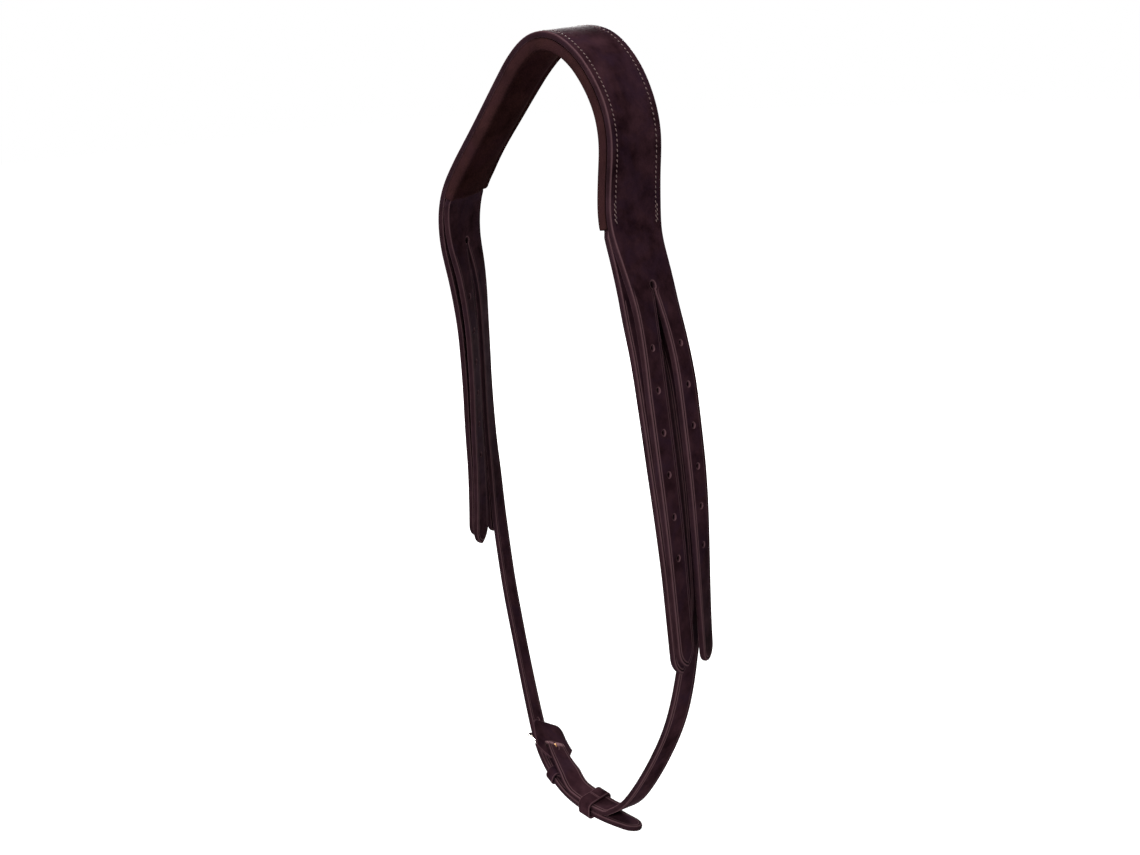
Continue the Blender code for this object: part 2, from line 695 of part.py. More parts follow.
def tube_mesh(points, radii, cyclic):
    """A round bar along the points, with a radius at each."""
    curve = bpy.data.curves.new("tube", "CURVE")
    curve.dimensions = "3D"
    curve.bevel_depth = 1.0
    curve.bevel_resolution = 2
    curve.use_fill_caps = not cyclic
    spline = curve.splines.new("POLY")
    spline.points.add(len(points) - 1)
    for place, point, radius in zip(points, spline.points, radii):
        point.co = (*place, 1)
        point.radius = radius
    spline.use_cyclic_u = cyclic
    holder = bpy.data.objects.new("tube", curve)
    bpy.context.scene.collection.objects.link(holder)
    depsgraph = bpy.context.evaluated_depsgraph_get()
    mesh = bpy.data.meshes.new_from_object(holder.evaluated_get(depsgraph))
    bpy.data.objects.remove(holder, do_unlink=True)
    bpy.data.curves.remove(curve)
    shape = bmesh.new()
    shape.from_mesh(mesh)
    bmesh.ops.remove_doubles(shape, verts=shape.verts, dist=WELD)
    face_outwards(shape)
    shape.to_mesh(mesh)
    shape.free()
    return mesh


def rounded_rectangle(x0, x1, y0, y1, radius, steps=4):
    """Corner points of a rectangle whose corners are arcs."""
    points = []
    corners = ((x1 - radius, y1 - radius), (x0 + radius, y1 - radius),
               (x0 + radius, y0 + radius), (x1 - radius, y0 + radius))
    for quarter, (x, y) in enumerate(corners):
        for i in range(steps + 1):
            angle = math.pi / 2 * (quarter + i / steps)
            points.append((x + radius * math.cos(angle), y + radius * math.sin(angle)))
    return points


def bar_matrix(route):
    """The buckle's bar: Y runs along it."""
    matrix = route.frame(BUCKLE_AT)
    matrix.translation = Vector(route.place(BUCKLE_AT, 0.0, BAR_LEVEL))
    return matrix


def make_frame(route):
    """The buckle's frame: its heel bar in the turned strap, its front bar over the long one."""
    outline = rounded_rectangle(0.0, FRAME_LENGTH, -FRAME_HALF, FRAME_HALF, FRAME_CORNER)
    points = []
    radii = []
    for ahead, across in outline:
        rise = float(eased(ahead / FRAME_LENGTH))
        level = BAR_LEVEL + (FRONT_LEVEL - BAR_LEVEL) * rise
        points.append(route.place(BUCKLE_AT - ahead, across, level))
        radii.append(BAR_RADIUS + (FRAME_RADIUS - BAR_RADIUS) * rise)
    mesh = tube_mesh(points, radii, True)
    return finish_object("buckle_frame", mesh, "steel", bar_matrix(route))


def make_tongue(route):
    """The tongue: an open eye round the bar, then up through the strap's hole to the front bar."""
    eye = BAR_RADIUS + TONGUE_PLAY + TONGUE_RADIUS
    rest = FRONT_LEVEL + FRAME_RADIUS + SEAT_GAP + TONGUE_RADIUS
    path = []
    for i in range(EYE_STEPS + 1):
        angle = math.radians(-EYE_TURN + EYE_TURN * i / EYE_STEPS)
        path.append((eye * math.cos(angle), BAR_LEVEL + eye * math.sin(angle)))
    for along_share, rise_share in TONGUE_SHARES:
        along = eye + (FRAME_LENGTH - eye) * along_share
        path.append((along, BAR_LEVEL + (rest - BAR_LEVEL) * rise_share))
    points = [route.place(BUCKLE_AT - ahead, 0.0, level) for ahead, level in path]
    radii = [TONGUE_RADIUS] * (len(points) - 1) + [TONGUE_RADIUS * TONGUE_TIP_SHARE]
    return finish_object("buckle_tongue", tube_mesh(points, radii, False), "brass", bar_matrix(route))


def make_safe(route):
    """The leather guard between the buckle and the cheek, slotted for the turned strap."""
    top = BUCKLE_AT - SAFE_ABOVE
    wide_end = BUCKLE_AT + SAFE_BELOW * SAFE_WIDE_SHARE
    end = BUCKLE_AT + SAFE_BELOW
    narrow = THROAT_WIDTH / 2
    corners = rounded_rectangle(top, wide_end, -SAFE_HALF_WIDTH, SAFE_HALF_WIDTH, SAFE_CORNER)
    steps = len(corners) // 4
    outline = corners[steps:3 * steps] + [(wide_end, -SAFE_HALF_WIDTH), (end, -narrow), (end, narrow)]
    outline.append((wide_end, SAFE_HALF_WIDTH))
    slot = THROAT_WIDTH / 2 + SEAT_GAP
    first = BUCKLE_AT - TURN_RADIUS - TURN_LEATHER / 2 - SEAT_GAP
    last = BUCKLE_AT + BAR_RADIUS + TONGUE_PLAY + 2 * TONGUE_RADIUS + SEAT_GAP
    cut = [(first, -slot), (first, slot), (last, slot), (last, -slot)]
    shape = flat_pattern([outline, cut], SAFE_LEATHER, EDGE_ROUND * SAFE_LEATHER / INNER_LEATHER)

    def lowered(along, lift):
        return SAFE_TOP - SAFE_LEATHER / 2 + lift

    lines = lines_between(top, end, SAFE_STEP)
    mesh = bent(shape, route, lines, thickness=lowered)
    return finish_object("buckle_safe", mesh, "dark_leather")


def make_loop(name, route, place, width, leather, opening, corner, centre):
    """A leather loop round the straps, its opening given as across, lower and upper levels."""
    across, low, high = opening
    inner = rounded_rectangle(-across, across, low, high, corner)
    outer = rounded_rectangle(
        -across - leather, across + leather, low - leather, high + leather, corner + leather
    )
    shape = flat_pattern([outer, inner], width, leather * LOOP_EDGE_SHARE)
    bmesh.ops.triangulate(shape, faces=shape.faces)
    flat = np.array([vertex.co[:] for vertex in shape.verts])
    for vertex, spot in zip(shape.verts, route.place(place + flat[:, 2], flat[:, 0], flat[:, 1])):
        vertex.co = spot
    face_outwards(shape)
    mesh = bpy.data.meshes.new(name)
    shape.to_mesh(mesh)
    shape.free()
    matrix = route.frame(place)
    matrix.translation = Vector(route.place(place, 0.0, centre))
    return finish_object(name, mesh, "dark_leather", matrix)


def make_keepers(route):
    """The fixed keeper, sewn in under the turned ply, and the runner that slides over both straps."""
    outside = INNER_LEATHER / 2 + KEEPER_PLAY
    across = THROAT_WIDTH / 2 + KEEPER_PLAY
    opening = (across, TURN_INSIDE - KEEPER_PLAY, outside)
    make_loop("fixed_keeper", route, BUCKLE_AT + KEEPER_PLACE, KEEPER_WIDTH, KEEPER_LEATHER,
              opening, KEEPER_LEATHER, 0.0)
    across = THROAT_WIDTH / 2 + RUNNER_SIDE_PLAY
    both = -(INNER_LEATHER / 2 + SEAT_GAP + INNER_LEATHER)
    opening = (across, both - RUNNER_INNER_PLAY, INNER_LEATHER / 2 + RUNNER_OUTER_PLAY)
    make_loop("runner_keeper", route, BUCKLE_AT + RUNNER_PLACE, RUNNER_WIDTH, RUNNER_LEATHER,
              opening, RUNNER_LEATHER, both / 2)


def tell_joint(name, thing, column):
    """Prints where a joint is and which way its axis points."""
    place = thing.matrix_world.translation
    axis = thing.matrix_world.to_3x3().col[column].normalized()
    print(name, [round(c, 6) for c in place], [round(c, 6) for c in axis])


def main():
    clear_scene()
    for name in (COLLECTION, "cutters"):
        collection = bpy.data.collections.new(name)
        bpy.context.scene.collection.children.link(collection)
    seat = np.array([0, 0, SEAT_DEPTH])
    reach = ARM_LENGTH + max(REAR_EXTRA, INNER_EXTRA) + CUT_OVERRUN
    left = tilted(bend_route(LEFT_ARM_SHARES, 0.0, reach, ARM_LENGTH, 1, seat))
    right = tilted(bend_route(RIGHT_ARM_SHARES, 0.0, reach, ARM_LENGTH, -1, seat))
    below = -LAYER_DROP - layer_spread(left.distances, LEFT_SPREAD)
    left_inner = left.shifted(0.0, below)
    right_inner = right.shifted(0.0, -LAYER_DROP - layer_spread(right.distances, RIGHT_SPREAD))
    crown = crown_route(right, left)
    crown_inner = crown_route(right_inner, left_inner)
    make_crown_layer("crown_outer", crown, OUTER_LEATHER)
    make_crown_layer("crown_inner", crown_inner, INNER_LEATHER)
    make_pad(crown)

    outer_face = OUTER_LEATHER / 2
    pointed = (POINT_LENGTH, pointed_tip)
    round_end = (ROUND_LENGTH, rounded_tip)
    amount = tuck_amount(left.distances)
    left_rear = left.shifted(BILLET_CENTRE, 0.0)
    left_rear = left_rear.shifted(-REAR_CLOSING * amount, -REAR_TUCK * amount, -REAR_TURN * amount)
    right_rear = right.shifted(BILLET_CENTRE, 0.0)
    billets = []
    arms = (("left", left, left_rear, left_inner), ("right", right, right_rear, right_inner))
    for word, arm, rear, arm_inner in arms:
        front = arm.shifted(-BILLET_CENTRE, 0.0)
        inner = arm_inner.shifted(-BILLET_CENTRE, 0.0)
        billets.append(make_billet(word + "_front_billet", front, -1, ARM_LENGTH, outer_face, pointed))
        billets.append(make_billet(word + "_rear_billet", rear, 1, ARM_LENGTH + REAR_EXTRA,
                                   outer_face, round_end))
        billets.append(make_billet(word + "_inner_billet", inner, -1, ARM_LENGTH + INNER_EXTRA,
                                   -outer_face, pointed))

    long_strap = long_strap_route(right_inner.shifted(BILLET_CENTRE, 0.0))
    short_start = left_rear.shifted(-THROAT_CLOSING * amount, below)
    short_strap = short_strap_route(short_start, long_strap)
    make_long_strap(long_strap)
    make_short_strap(short_strap)
    frame = make_frame(long_strap)
    tongue = make_tongue(long_strap)
    make_safe(long_strap)
    make_keepers(long_strap)

    bpy.context.view_layer.update()
    for billet in billets:
        tell_joint(billet.name, billet, 1)
    tell_joint("buckle_frame", frame, 1)
    tell_joint("buckle_tongue", tongue, 1)
    tell_joint("runner_keeper", bpy.data.objects["runner_keeper"], 0)


main()
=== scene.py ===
# Looks of a double bridle headpiece: crown, billets, poll pad and buckled throatlash
# Metres, the horse faces -Y, so +X is its left side; +Z is up and the seat on the poll is the origin

import math

import bmesh
import bpy
import numpy as np
from mathutils import Matrix, Vector


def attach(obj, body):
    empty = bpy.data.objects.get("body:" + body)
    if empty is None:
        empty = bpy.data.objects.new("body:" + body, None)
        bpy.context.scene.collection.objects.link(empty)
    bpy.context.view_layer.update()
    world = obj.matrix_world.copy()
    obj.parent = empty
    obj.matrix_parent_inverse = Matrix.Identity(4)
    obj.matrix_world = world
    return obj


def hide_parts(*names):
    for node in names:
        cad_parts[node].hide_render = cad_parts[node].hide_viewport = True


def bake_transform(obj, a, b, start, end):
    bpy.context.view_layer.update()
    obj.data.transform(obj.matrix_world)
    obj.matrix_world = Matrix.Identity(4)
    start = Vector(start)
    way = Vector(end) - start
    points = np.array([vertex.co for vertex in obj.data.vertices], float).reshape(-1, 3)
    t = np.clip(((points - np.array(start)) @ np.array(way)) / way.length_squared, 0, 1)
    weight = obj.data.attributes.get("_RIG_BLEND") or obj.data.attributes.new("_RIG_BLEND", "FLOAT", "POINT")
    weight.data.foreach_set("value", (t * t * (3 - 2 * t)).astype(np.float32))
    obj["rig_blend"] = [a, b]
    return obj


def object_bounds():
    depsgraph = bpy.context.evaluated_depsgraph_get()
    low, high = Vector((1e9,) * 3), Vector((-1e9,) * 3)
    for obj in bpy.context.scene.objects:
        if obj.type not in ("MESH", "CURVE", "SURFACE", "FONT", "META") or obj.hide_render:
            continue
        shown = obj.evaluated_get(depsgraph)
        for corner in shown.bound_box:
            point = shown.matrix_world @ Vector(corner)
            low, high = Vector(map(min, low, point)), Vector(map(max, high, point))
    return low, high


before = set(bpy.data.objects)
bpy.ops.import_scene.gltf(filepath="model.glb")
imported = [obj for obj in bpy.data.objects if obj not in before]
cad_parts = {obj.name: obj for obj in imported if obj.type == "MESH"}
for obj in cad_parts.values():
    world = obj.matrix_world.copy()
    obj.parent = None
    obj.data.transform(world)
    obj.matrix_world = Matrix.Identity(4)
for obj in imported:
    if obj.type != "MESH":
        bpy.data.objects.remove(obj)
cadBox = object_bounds()
print("frame loaded:", len(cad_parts), "nodes")

# Camera, matched to the photograph; its image is taken as 1140 x 855
photoView = {
    "azimuth": 38.28, "elevation": 19.17, "roll": -3.61, "distance": 0.5813,
    "target": (-0.0145, 0.0041, -0.1935), "focalPixels": 1060.6, "imageWidth": 1140,
    "sensorWidth": 36, "clip": (0.01, 50),
}


def addObject(name, data):
    added = bpy.data.objects.new(name, data)
    bpy.context.scene.collection.objects.link(added)
    return added


def setCamera(view):
    azimuth, elevation, roll = (math.radians(view[key]) for key in ("azimuth", "elevation", "roll"))
    back = Vector((math.sin(azimuth) * math.cos(elevation), -math.cos(azimuth) * math.cos(elevation),
                   math.sin(elevation)))
    level = Vector((math.cos(azimuth), math.sin(azimuth), 0))
    up = back.cross(level)
    right = level * math.cos(roll) + up * math.sin(roll)
    top = up * math.cos(roll) - level * math.sin(roll)
    data = bpy.data.cameras.new("camera")
    data.sensor_width = view["sensorWidth"]
    data.lens = view["sensorWidth"] * view["focalPixels"] / view["imageWidth"]
    data.clip_start, data.clip_end = view["clip"]
    camera = addObject("camera", data)
    turn = Matrix((right, top, back)).transposed().to_4x4()
    camera.matrix_world = Matrix.Translation(Vector(view["target"]) + back * view["distance"]) @ turn
    bpy.context.scene.camera = camera


setCamera(photoView)

# Studio: white all round for the camera and for reflections, four soft lamps on the object
studio = {
    "white": "ffffff", "worldLight": 0.035, "floorBelow": 0.035, "floorSize": 14.0, "floorColour": "ececec",
    # the floor's own light near the object and far from it, and the distances between which it rises
    "floorOwnLight": (0.45, 1.0),
    "floorReach": (0.15, 0.95),
    # name, place, size, watts
    "lamps": (
        ("lampOver", (-0.05, -0.15, 0.85), 0.30, 5.5),
        ("lampFront", (0.30, -1.00, 0.55), 0.35, 17.5),
        ("lampSide", (-0.90, -0.75, 0.00), 0.50, 7.0),
        ("lampBehind", (-0.50, 0.95, 0.25), 0.40, 12.0),
    ),
}


def linear(code):
    channels = [int(code[i:i + 2], 16) / 255 for i in (0, 2, 4)]
    return [c / 12.92 if c <= 0.04045 else ((c + 0.055) / 1.055) ** 2.4 for c in channels] + [1.0]


def setNode(tree, node, values, links):
    # A link comes from a socket, or from a node's first output
    for key, value in (values or {}).items():
        if isinstance(key, str) and hasattr(node, key):
            setattr(node, key, value)
        else:
            node.inputs[key].default_value = value
    for key, source in (links or {}).items():
        socket = source.outputs[0] if isinstance(source, bpy.types.Node) else source
        tree.links.new(socket, node.inputs[key])
    return node


def addNode(tree, kind, values=None, links=None):
    return setNode(tree, tree.nodes.new("ShaderNode" + kind), values, links)


def clearedTree(owner):
    owner.use_nodes = True
    owner.node_tree.nodes.clear()
    return owner.node_tree


def seenDirectly(tree):
    # 1 for rays from the camera, a reflection or through glass, 0 for light that falls on a surface
    rays = addNode(tree, "LightPath").outputs
    first = addNode(tree, "Math", {"operation": "MAXIMUM"},
                    {0: rays["Is Camera Ray"], 1: rays["Is Glossy Ray"]})
    return addNode(tree, "Math", {"operation": "MAXIMUM"}, {0: first, 1: rays["Is Transmission Ray"]})


def setStudio(look):
    scene = bpy.context.scene
    scene.view_settings.view_transform = "Standard"
    scene.world = bpy.data.worlds.new("studioWhite")
    tree = clearedTree(scene.world)
    strength = addNode(tree, "MapRange", {"To Min": look["worldLight"], "To Max": 1.0},
                       {"Value": seenDirectly(tree)})
    light = addNode(tree, "Background", {"Color": linear(look["white"])}, {"Strength": strength})
    addNode(tree, "OutputWorld", None, {"Surface": light})

    floorMaterial = bpy.data.materials.new("studioFloor")
    tree = clearedTree(floorMaterial)
    paper = addNode(tree, "BsdfDiffuse", {"Color": linear(look["floorColour"])})
    spot = addNode(tree, "TexCoord").outputs["Object"]
    away = addNode(tree, "VectorMath", {"operation": "LENGTH"}, {0: spot}).outputs["Value"]
    near, far = look["floorReach"]
    least, most = look["floorOwnLight"]
    rise = addNode(tree, "MapRange", {"interpolation_type": "SMOOTHSTEP", "From Min": near, "From Max": far,
                                      "To Min": least, "To Max": most}, {"Value": away})
    own = addNode(tree, "Math", {"operation": "MULTIPLY"}, {0: seenDirectly(tree), 1: rise})
    glow = addNode(tree, "Emission", {"Color": linear(look["white"])}, {"Strength": own})
    both = addNode(tree, "AddShader", None, {0: paper, 1: glow})
    addNode(tree, "OutputMaterial", None, {"Surface": both})
    plane = bmesh.new()
    bmesh.ops.create_grid(plane, x_segments=1, y_segments=1, size=look["floorSize"] / 2)
    mesh = bpy.data.meshes.new("studioFloor")
    plane.to_mesh(mesh)
    plane.free()
    mesh.materials.append(floorMaterial)
    floor = addObject("studioFloor", mesh)
    floor.location.z = cadBox[0].z - look["floorBelow"]

    aim = Vector((0, 0, (cadBox[0].z + cadBox[1].z) / 2))
    for name, place, size, watts in look["lamps"]:
        lamp = bpy.data.lights.new(name, "AREA")
        lamp.shape = "SQUARE"
        lamp.size = size
        lamp.energy = watts
        holder = addObject(name, lamp)
        holder.location = place
        holder.rotation_mode = "QUATERNION"
        holder.rotation_quaternion = (aim - Vector(place)).to_track_quat("-Z", "Y")


setStudio(studio)
print("camera and studio set")


# Materials

# Bridle leather: drum dyed, waxed and rolled, so it is smooth with a soft wax shine and cloudy dye
bridleLeather = {
    # edge is the colour of the painted edge highlight, partly burnish; crease the painted shade in creases
    # and on the cut sides
    "dark": "1b0d11", "light": "392329", "purple": "2a1a25", "edge": "573f43", "crease": "0d0508",
    "cloudSize": 0.012,
    "grainSize": 0.0011,  # real grain is near 0.4 mm; drawn coarser so that it shows
    "grainDepth": 0.00005, "roughness": (0.38, 0.50), "edgeRoughness": 0.28, "specular": 0.0008,
}
# Lining leather: thin chrome-tanned cowhide, softer and redder, with a dull smooth face
liningLeather = {
    # edge is the colour of the painted highlight on the pad's edges and ends; crease a painted shade colour
    "dark": "170a0a", "light": "2b1716", "purple": "231115", "edge": "3c2729", "crease": "0f0606",
    "cloudSize": 0.015, "grainSize": 0.0015,
    "grainDepth": 0.00007, "roughness": (0.40, 0.52), "edgeRoughness": 0.32, "specular": 0.0001,
}
# What both hides share: clouds and patches of dye, how much of each noise counts, and the grain's cells
hide = {
    "cloud": {"Detail": 5.0, "Roughness": 0.62}, "cloudRange": {"From Min": 0.32, "From Max": 0.70},
    "patch": {"Detail": 3.0, "Roughness": 0.7, "Distortion": 0.8}, "patchScale": 0.6,
    "patchRange": {"From Min": 0.45, "From Max": 0.68, "To Max": 0.75},
    "waxRange": {"From Min": 0.3, "From Max": 0.7},
    "cells": {"feature": "SMOOTH_F1", "Smoothness": 0.6}, "fine": {"Detail": 3.0, "Roughness": 0.6},
    "fineScale": 0.7, "grainStrength": 0.5,
}


def newMaterial(name):
    material = bpy.data.materials.new(name)
    material.use_nodes = True
    tree = material.node_tree
    return material, tree, tree.nodes["Principled BSDF"], addNode(tree, "TexCoord").outputs["Object"]


def leatherMaterial(name, look):
    material, tree, shader, where = newMaterial(name)
    cloud = addNode(tree, "TexNoise", {"Scale": 1 / look["cloudSize"], **hide["cloud"]}, {"Vector": where})
    patch = addNode(tree, "TexNoise", {"Scale": hide["patchScale"] / look["cloudSize"], **hide["patch"]},
                    {"Vector": where})
    cloudy = addNode(tree, "MapRange", hide["cloudRange"], {"Value": cloud})
    patchy = addNode(tree, "MapRange", hide["patchRange"], {"Value": patch})
    # rim carries the painted edge highlight, partly burnish; groove the painted shade in creases and on the
    # cut sides, partly edge ink
    rim, groove = (addNode(tree, "Attribute", {"attribute_name": layer}).outputs["Fac"]
                   for layer in ("rim", "groove"))
    # A Mix node takes its factor at 0, numbers at 2 and 3 and colours at 6 and 7, and gives its colour at 2
    colour = addNode(tree, "Mix", {"data_type": "RGBA", 6: linear(look["dark"]), 7: linear(look["light"])},
                     {0: cloudy})
    # Unclamped at the edge, so that a rim over 1 is paler still, as at the rubbed fold with its painted
    # highlight
    for shade, share in (("purple", patchy), ("edge", rim), ("crease", groove)):
        colour = addNode(tree, "Mix", {"data_type": "RGBA", "clamp_factor": shade != "edge",
                                       7: linear(look[shade])}, {0: share, 6: colour.outputs[2]})
    smooth, dull = look["roughness"]
    wax = addNode(tree, "MapRange", {"To Min": dull, "To Max": smooth, **hide["waxRange"]},
                  {"Value": cloud})
    rubbedAndSheen = addNode(tree, "Mix", {"data_type": "FLOAT", 3: look["edgeRoughness"]}, {0: rim, 2: wax})
    cells = addNode(tree, "TexVoronoi", {**hide["cells"], "Scale": 1 / look["grainSize"]},
                    {"Vector": where})
    fine = addNode(tree, "TexNoise", {"Scale": hide["fineScale"] / look["grainSize"], **hide["fine"]},
                   {"Vector": where})
    grain = addNode(tree, "Math", {"operation": "ADD"}, {0: cells.outputs["Distance"], 1: fine})
    bump = addNode(tree, "Bump", {"Strength": hide["grainStrength"], "Distance": look["grainDepth"]},
                   {"Height": grain})
    setNode(tree, shader, {"Specular IOR Level": look["specular"]},
            {"Base Color": colour.outputs[2], "Roughness": rubbedAndSheen, "Normal": bump})
    return material


# Linen thread: waxed and laid in a slant, so each stitch catches a small light
linenThread = {"colour": "4f3937", "roughness": 0.5}
plies = {"size": 0.00035, "detail": 1.0, "depth": 0.00005, "strength": 0.4}
# Polished stainless steel and brass, cast and tumbled: a clear reflection with fine hairlines
polishedSteel = {"colour": "d5d3cf", "roughness": 0.16}
polishedBrass = {"colour": "d2a268", "roughness": 0.20}
hairlines = {"size": 0.0006, "detail": 4.0, "range": {"From Min": 0.3, "From Max": 0.8}, "worn": 1.7,
             "depth": 0.00002, "strength": 0.25}


def threadMaterial(name, look):
    material, tree, shader, where = newMaterial(name)
    ply = addNode(tree, "TexNoise", {"Scale": 1 / plies["size"], "Detail": plies["detail"]},
                  {"Vector": where})
    bump = addNode(tree, "Bump", {"Strength": plies["strength"], "Distance": plies["depth"]},
                   {"Height": ply})
    setNode(tree, shader, {"Base Color": linear(look["colour"]), "Roughness": look["roughness"]},
            {"Normal": bump})
    return material


def metalMaterial(name, look):
    material, tree, shader, where = newMaterial(name)
    scratch = addNode(tree, "TexNoise", {"Scale": 1 / hairlines["size"], "Detail": hairlines["detail"]},
                      {"Vector": where})
    worn = addNode(tree, "MapRange", {"To Min": look["roughness"], **hairlines["range"],
                                      "To Max": look["roughness"] * hairlines["worn"]}, {"Value": scratch})
    bump = addNode(tree, "Bump", {"Strength": hairlines["strength"], "Distance": hairlines["depth"]},
                   {"Height": scratch})
    setNode(tree, shader, {"Base Color": linear(look["colour"]), "Metallic": 1.0},
            {"Roughness": worn, "Normal": bump})
    return material


finishes = {
    "leather": leatherMaterial("bridleLeatherHavana", bridleLeather),
    "lining": leatherMaterial("liningLeatherCalf", liningLeather),
    "thread": threadMaterial("linenThreadWaxed", linenThread),
    "steel": metalMaterial("steelPolished", polishedSteel),
    "brass": metalMaterial("brassPolished", polishedBrass),
}
print("materials made:", len(finishes))


# Where the leather runs: the same bends as the solids have

strap = {
    "thick": 0.003, "gap": 0.0003, "crownWidth": 0.036, "billetWidth": 0.014, "padHalf": 0.110,
    "padDepth": 0.0045, "splitAt": 0.1385, "splitHole": 0.0032, "splitSlit": 0.0008, "splitRoot": 0.0045,
    "splitFlare": 0.040,
    "armLength": 0.3235, "innerExtra": 0.0045, "rearExtra": 0.0065, "spare": 0.002,
    "firstHole": 0.029, "holePitch": 0.020, "holeCount": 6, "holeSize": (0.0022, 0.0018),
    "pointLength": 0.011, "roundLength": 0.007, "hingeReach": 0.026, "step": 0.0005, "bendEase": 0.014,
    # twist added over the poll, in degrees, and where it has faded
    "pollTwist": (3.5, 0.030),
    # how far the layers part on each side, and shares of that by share of the arm
    "layersPart": {"left": 0.004, "right": 0.002},
    "partShape": ((0.36, 0.0), (0.47, 1.0), (0.58, 0.65), (0.70, 0.45), (0.86, 0.05), (1.0, 0.0)),
    # the left rear billet lies in: from this share of the arm, over this; by so much across, out, degrees
    "closing": (0.68, 0.32), "closingShift": (-0.001, -0.0012, -12),
}
throat = {
    "end": 0.5597, "buckleAt": 0.4775, "shortAt": 0.5141, "shortShift": -0.0035,
    "holes": 4, "holesAbove": 1, "holeToBar": 0.0038,
    "tongueHole": (0.0062, 0.0036), "turnThick": 0.0016, "turnPly": 0.024,
    "turnEase": 0.014, "turnSlot": 0.0028, "turnSlotReach": 0.0045,
    # how much paler the fold is, rubbed and with a painted highlight, and how soon that fades
    "turnBeside": 0.002, "foldRubbedAndLit": 2.2, "foldFade": 0.0015, "besideGap": 0.0007,
    "barRadius": 0.001, "safeThick": 0.0012, "runnerPlace": 0.0505,
    "runnerWidth": 0.009, "runnerEase": 0.009, "leaveShare": 0.93,
    "freeEase": 0.030,
    # the corner where a strap leaves the arm is averaged over this length, as far as these shares of it
    "cornerEase": 0.012, "cornerFade": (1.6, 0.4),
}
# Share of the length, drop below level, sway to the rear and twist, in degrees
bends = {
    "left": ((0, 0, 0, 3), (0.05, 34, -3, 11), (0.10, 52, -4, 10), (0.16, 67, -5, 7), (0.24, 92, -7, 7),
             (0.32, 86, -8, 9), (0.37, 66, -7, 3), (0.46, 71, -7, -1), (0.58, 78, -8, 7), (0.70, 79, -8, 6),
             (0.84, 84, -4, 3), (1.02, 86, -1, 0)),
    "right": ((0, 0, 0, -3), (0.05, 35, 1, 6), (0.10, 47, 1, 10), (0.16, 49, 1, 12), (0.24, 49, -1, 14),
              (0.32, 58, -2, 11), (0.37, 74, 1, 12.5), (0.46, 91, 8, 18.5), (0.58, 82, 8, 24.5),
              (0.70, 85, 3, 24.5), (0.84, 88, 3, 20.5), (1.02, 85, 1, 9)),
    "long": ((0, 88, 2, 12), (0.1, 92.5, 1, 11), (0.2, 99.5, -5.5, 12), (0.3, 110, -12.5, 14),
             (0.4, 118, -19, 18), (0.5, 128.5, -26.5, 21), (0.6, 141, -32.5, 26), (0.7, 162.5, -27.5, 37),
             (0.8, 179, -18, 56), (0.9, 179.5, -6.5, 74.5), (1, 176, 9.5, 90.5)),
    "short": ((0, 100.5, 0.5, 2), (0.1, 99.5, 1, 7.5), (0.2, 99.5, 0.5, 13), (0.3, 103, -2.5, 17),
              (0.4, 109.5, -8, 19), (0.5, 113.5, -11.5, 21), (0.6, 120.5, -9, 23.5), (0.7, 156, -1, 27),
              (0.8, 189.5, 9, 35), (0.9, 216, 18, 47), (1, 240, 26.5, 60.5)),
}
sides = (("left", 1), ("right", -1))
gap, halfThick = strap["gap"], strap["thick"] / 2
crownHalf, billetHalf = strap["crownWidth"] / 2, strap["billetWidth"] / 2
seatHeight = halfThick + 2 * gap + strap["thick"] + strap["padDepth"]
layerDrop = strap["thick"] + gap
rootAt = strap["splitAt"] + strap["splitRoot"]
billetCentre = (strap["crownWidth"] - strap["billetWidth"]) / 2
step, padHalf = strap["step"], strap["padHalf"]
bendWindow = int(round(strap["bendEase"] / step)) // 2
shortAt, buckleAt = throat["shortAt"], throat["buckleAt"]
# Levels at the buckle, measured from the middle of the long strap
turnOuter = -(halfThick + gap)
turnInside = turnOuter - throat["turnThick"]
barLevel = turnInside - gap - throat["barRadius"]
safeTop = barLevel - throat["barRadius"] - gap
mainTop = safeTop - throat["safeThick"] - gap
turnRadius = (turnInside - mainTop + throat["turnThick"]) / 2
turnCentre = (turnInside + mainTop) / 2
turnEnd = shortAt + math.pi * turnRadius
# How a row of values goes on past its ends when it is averaged
oddEnds = {"mode": "reflect", "reflect_type": "odd"}


def eased(x):
    x = np.clip(x, 0, 1)
    return x * x * (3 - 2 * x)


def shaped(pairs, x):
    return np.interp(x, *np.array(pairs).T)


def averaged(values, window, ends=oddEnds):
    kernel = np.ones(2 * window + 1) / (2 * window + 1)
    return np.convolve(np.pad(values, window, **ends), kernel, mode="valid")


def unit(rows):
    return rows / np.linalg.norm(rows, axis=-1, keepdims=True)


def coordinates(verts):
    return np.array([vert.co[:] for vert in verts])


class Route:
    # The middle of a strap's thickness and width, with its run, its across and its outward direction

    names = ("distances", "points", "run", "across", "outward")

    def __init__(self, *parts):
        for name, rows in zip(self.names, parts):
            setattr(self, name, rows)

    def read(self, name, along):
        return np.stack([np.interp(along, self.distances, column) for column in getattr(self, name).T], -1)

    def directions(self, along):
        return [self.read(name, along) for name in ("run", "across", "outward")]

    def place(self, along, across, out):
        along = np.asarray(along, float)
        sideways = np.asarray(across, float)[..., None] * self.read("across", along)
        lift = np.asarray(out, float)[..., None] * self.read("outward", along)
        return self.read("points", along) + sideways + lift

    def shifted(self, across, out, turn=0.0):
        across, out, turn = (np.broadcast_to(value, self.distances.shape) for value in (across, out, turn))
        points = self.place(self.distances, across, out)
        angle = np.radians(turn)[:, None]
        side = self.across * np.cos(angle) + self.outward * np.sin(angle)
        lift = self.outward * np.cos(angle) - self.across * np.sin(angle)
        return Route(self.distances, points, self.run, side, lift)


def squared(distances, points, run, across, side):
    # A route whose across is made square to its run
    across = unit(across - (across * run).sum(1, keepdims=True) * run)
    return Route(distances, points, run, across, np.cross(run, across) * side)


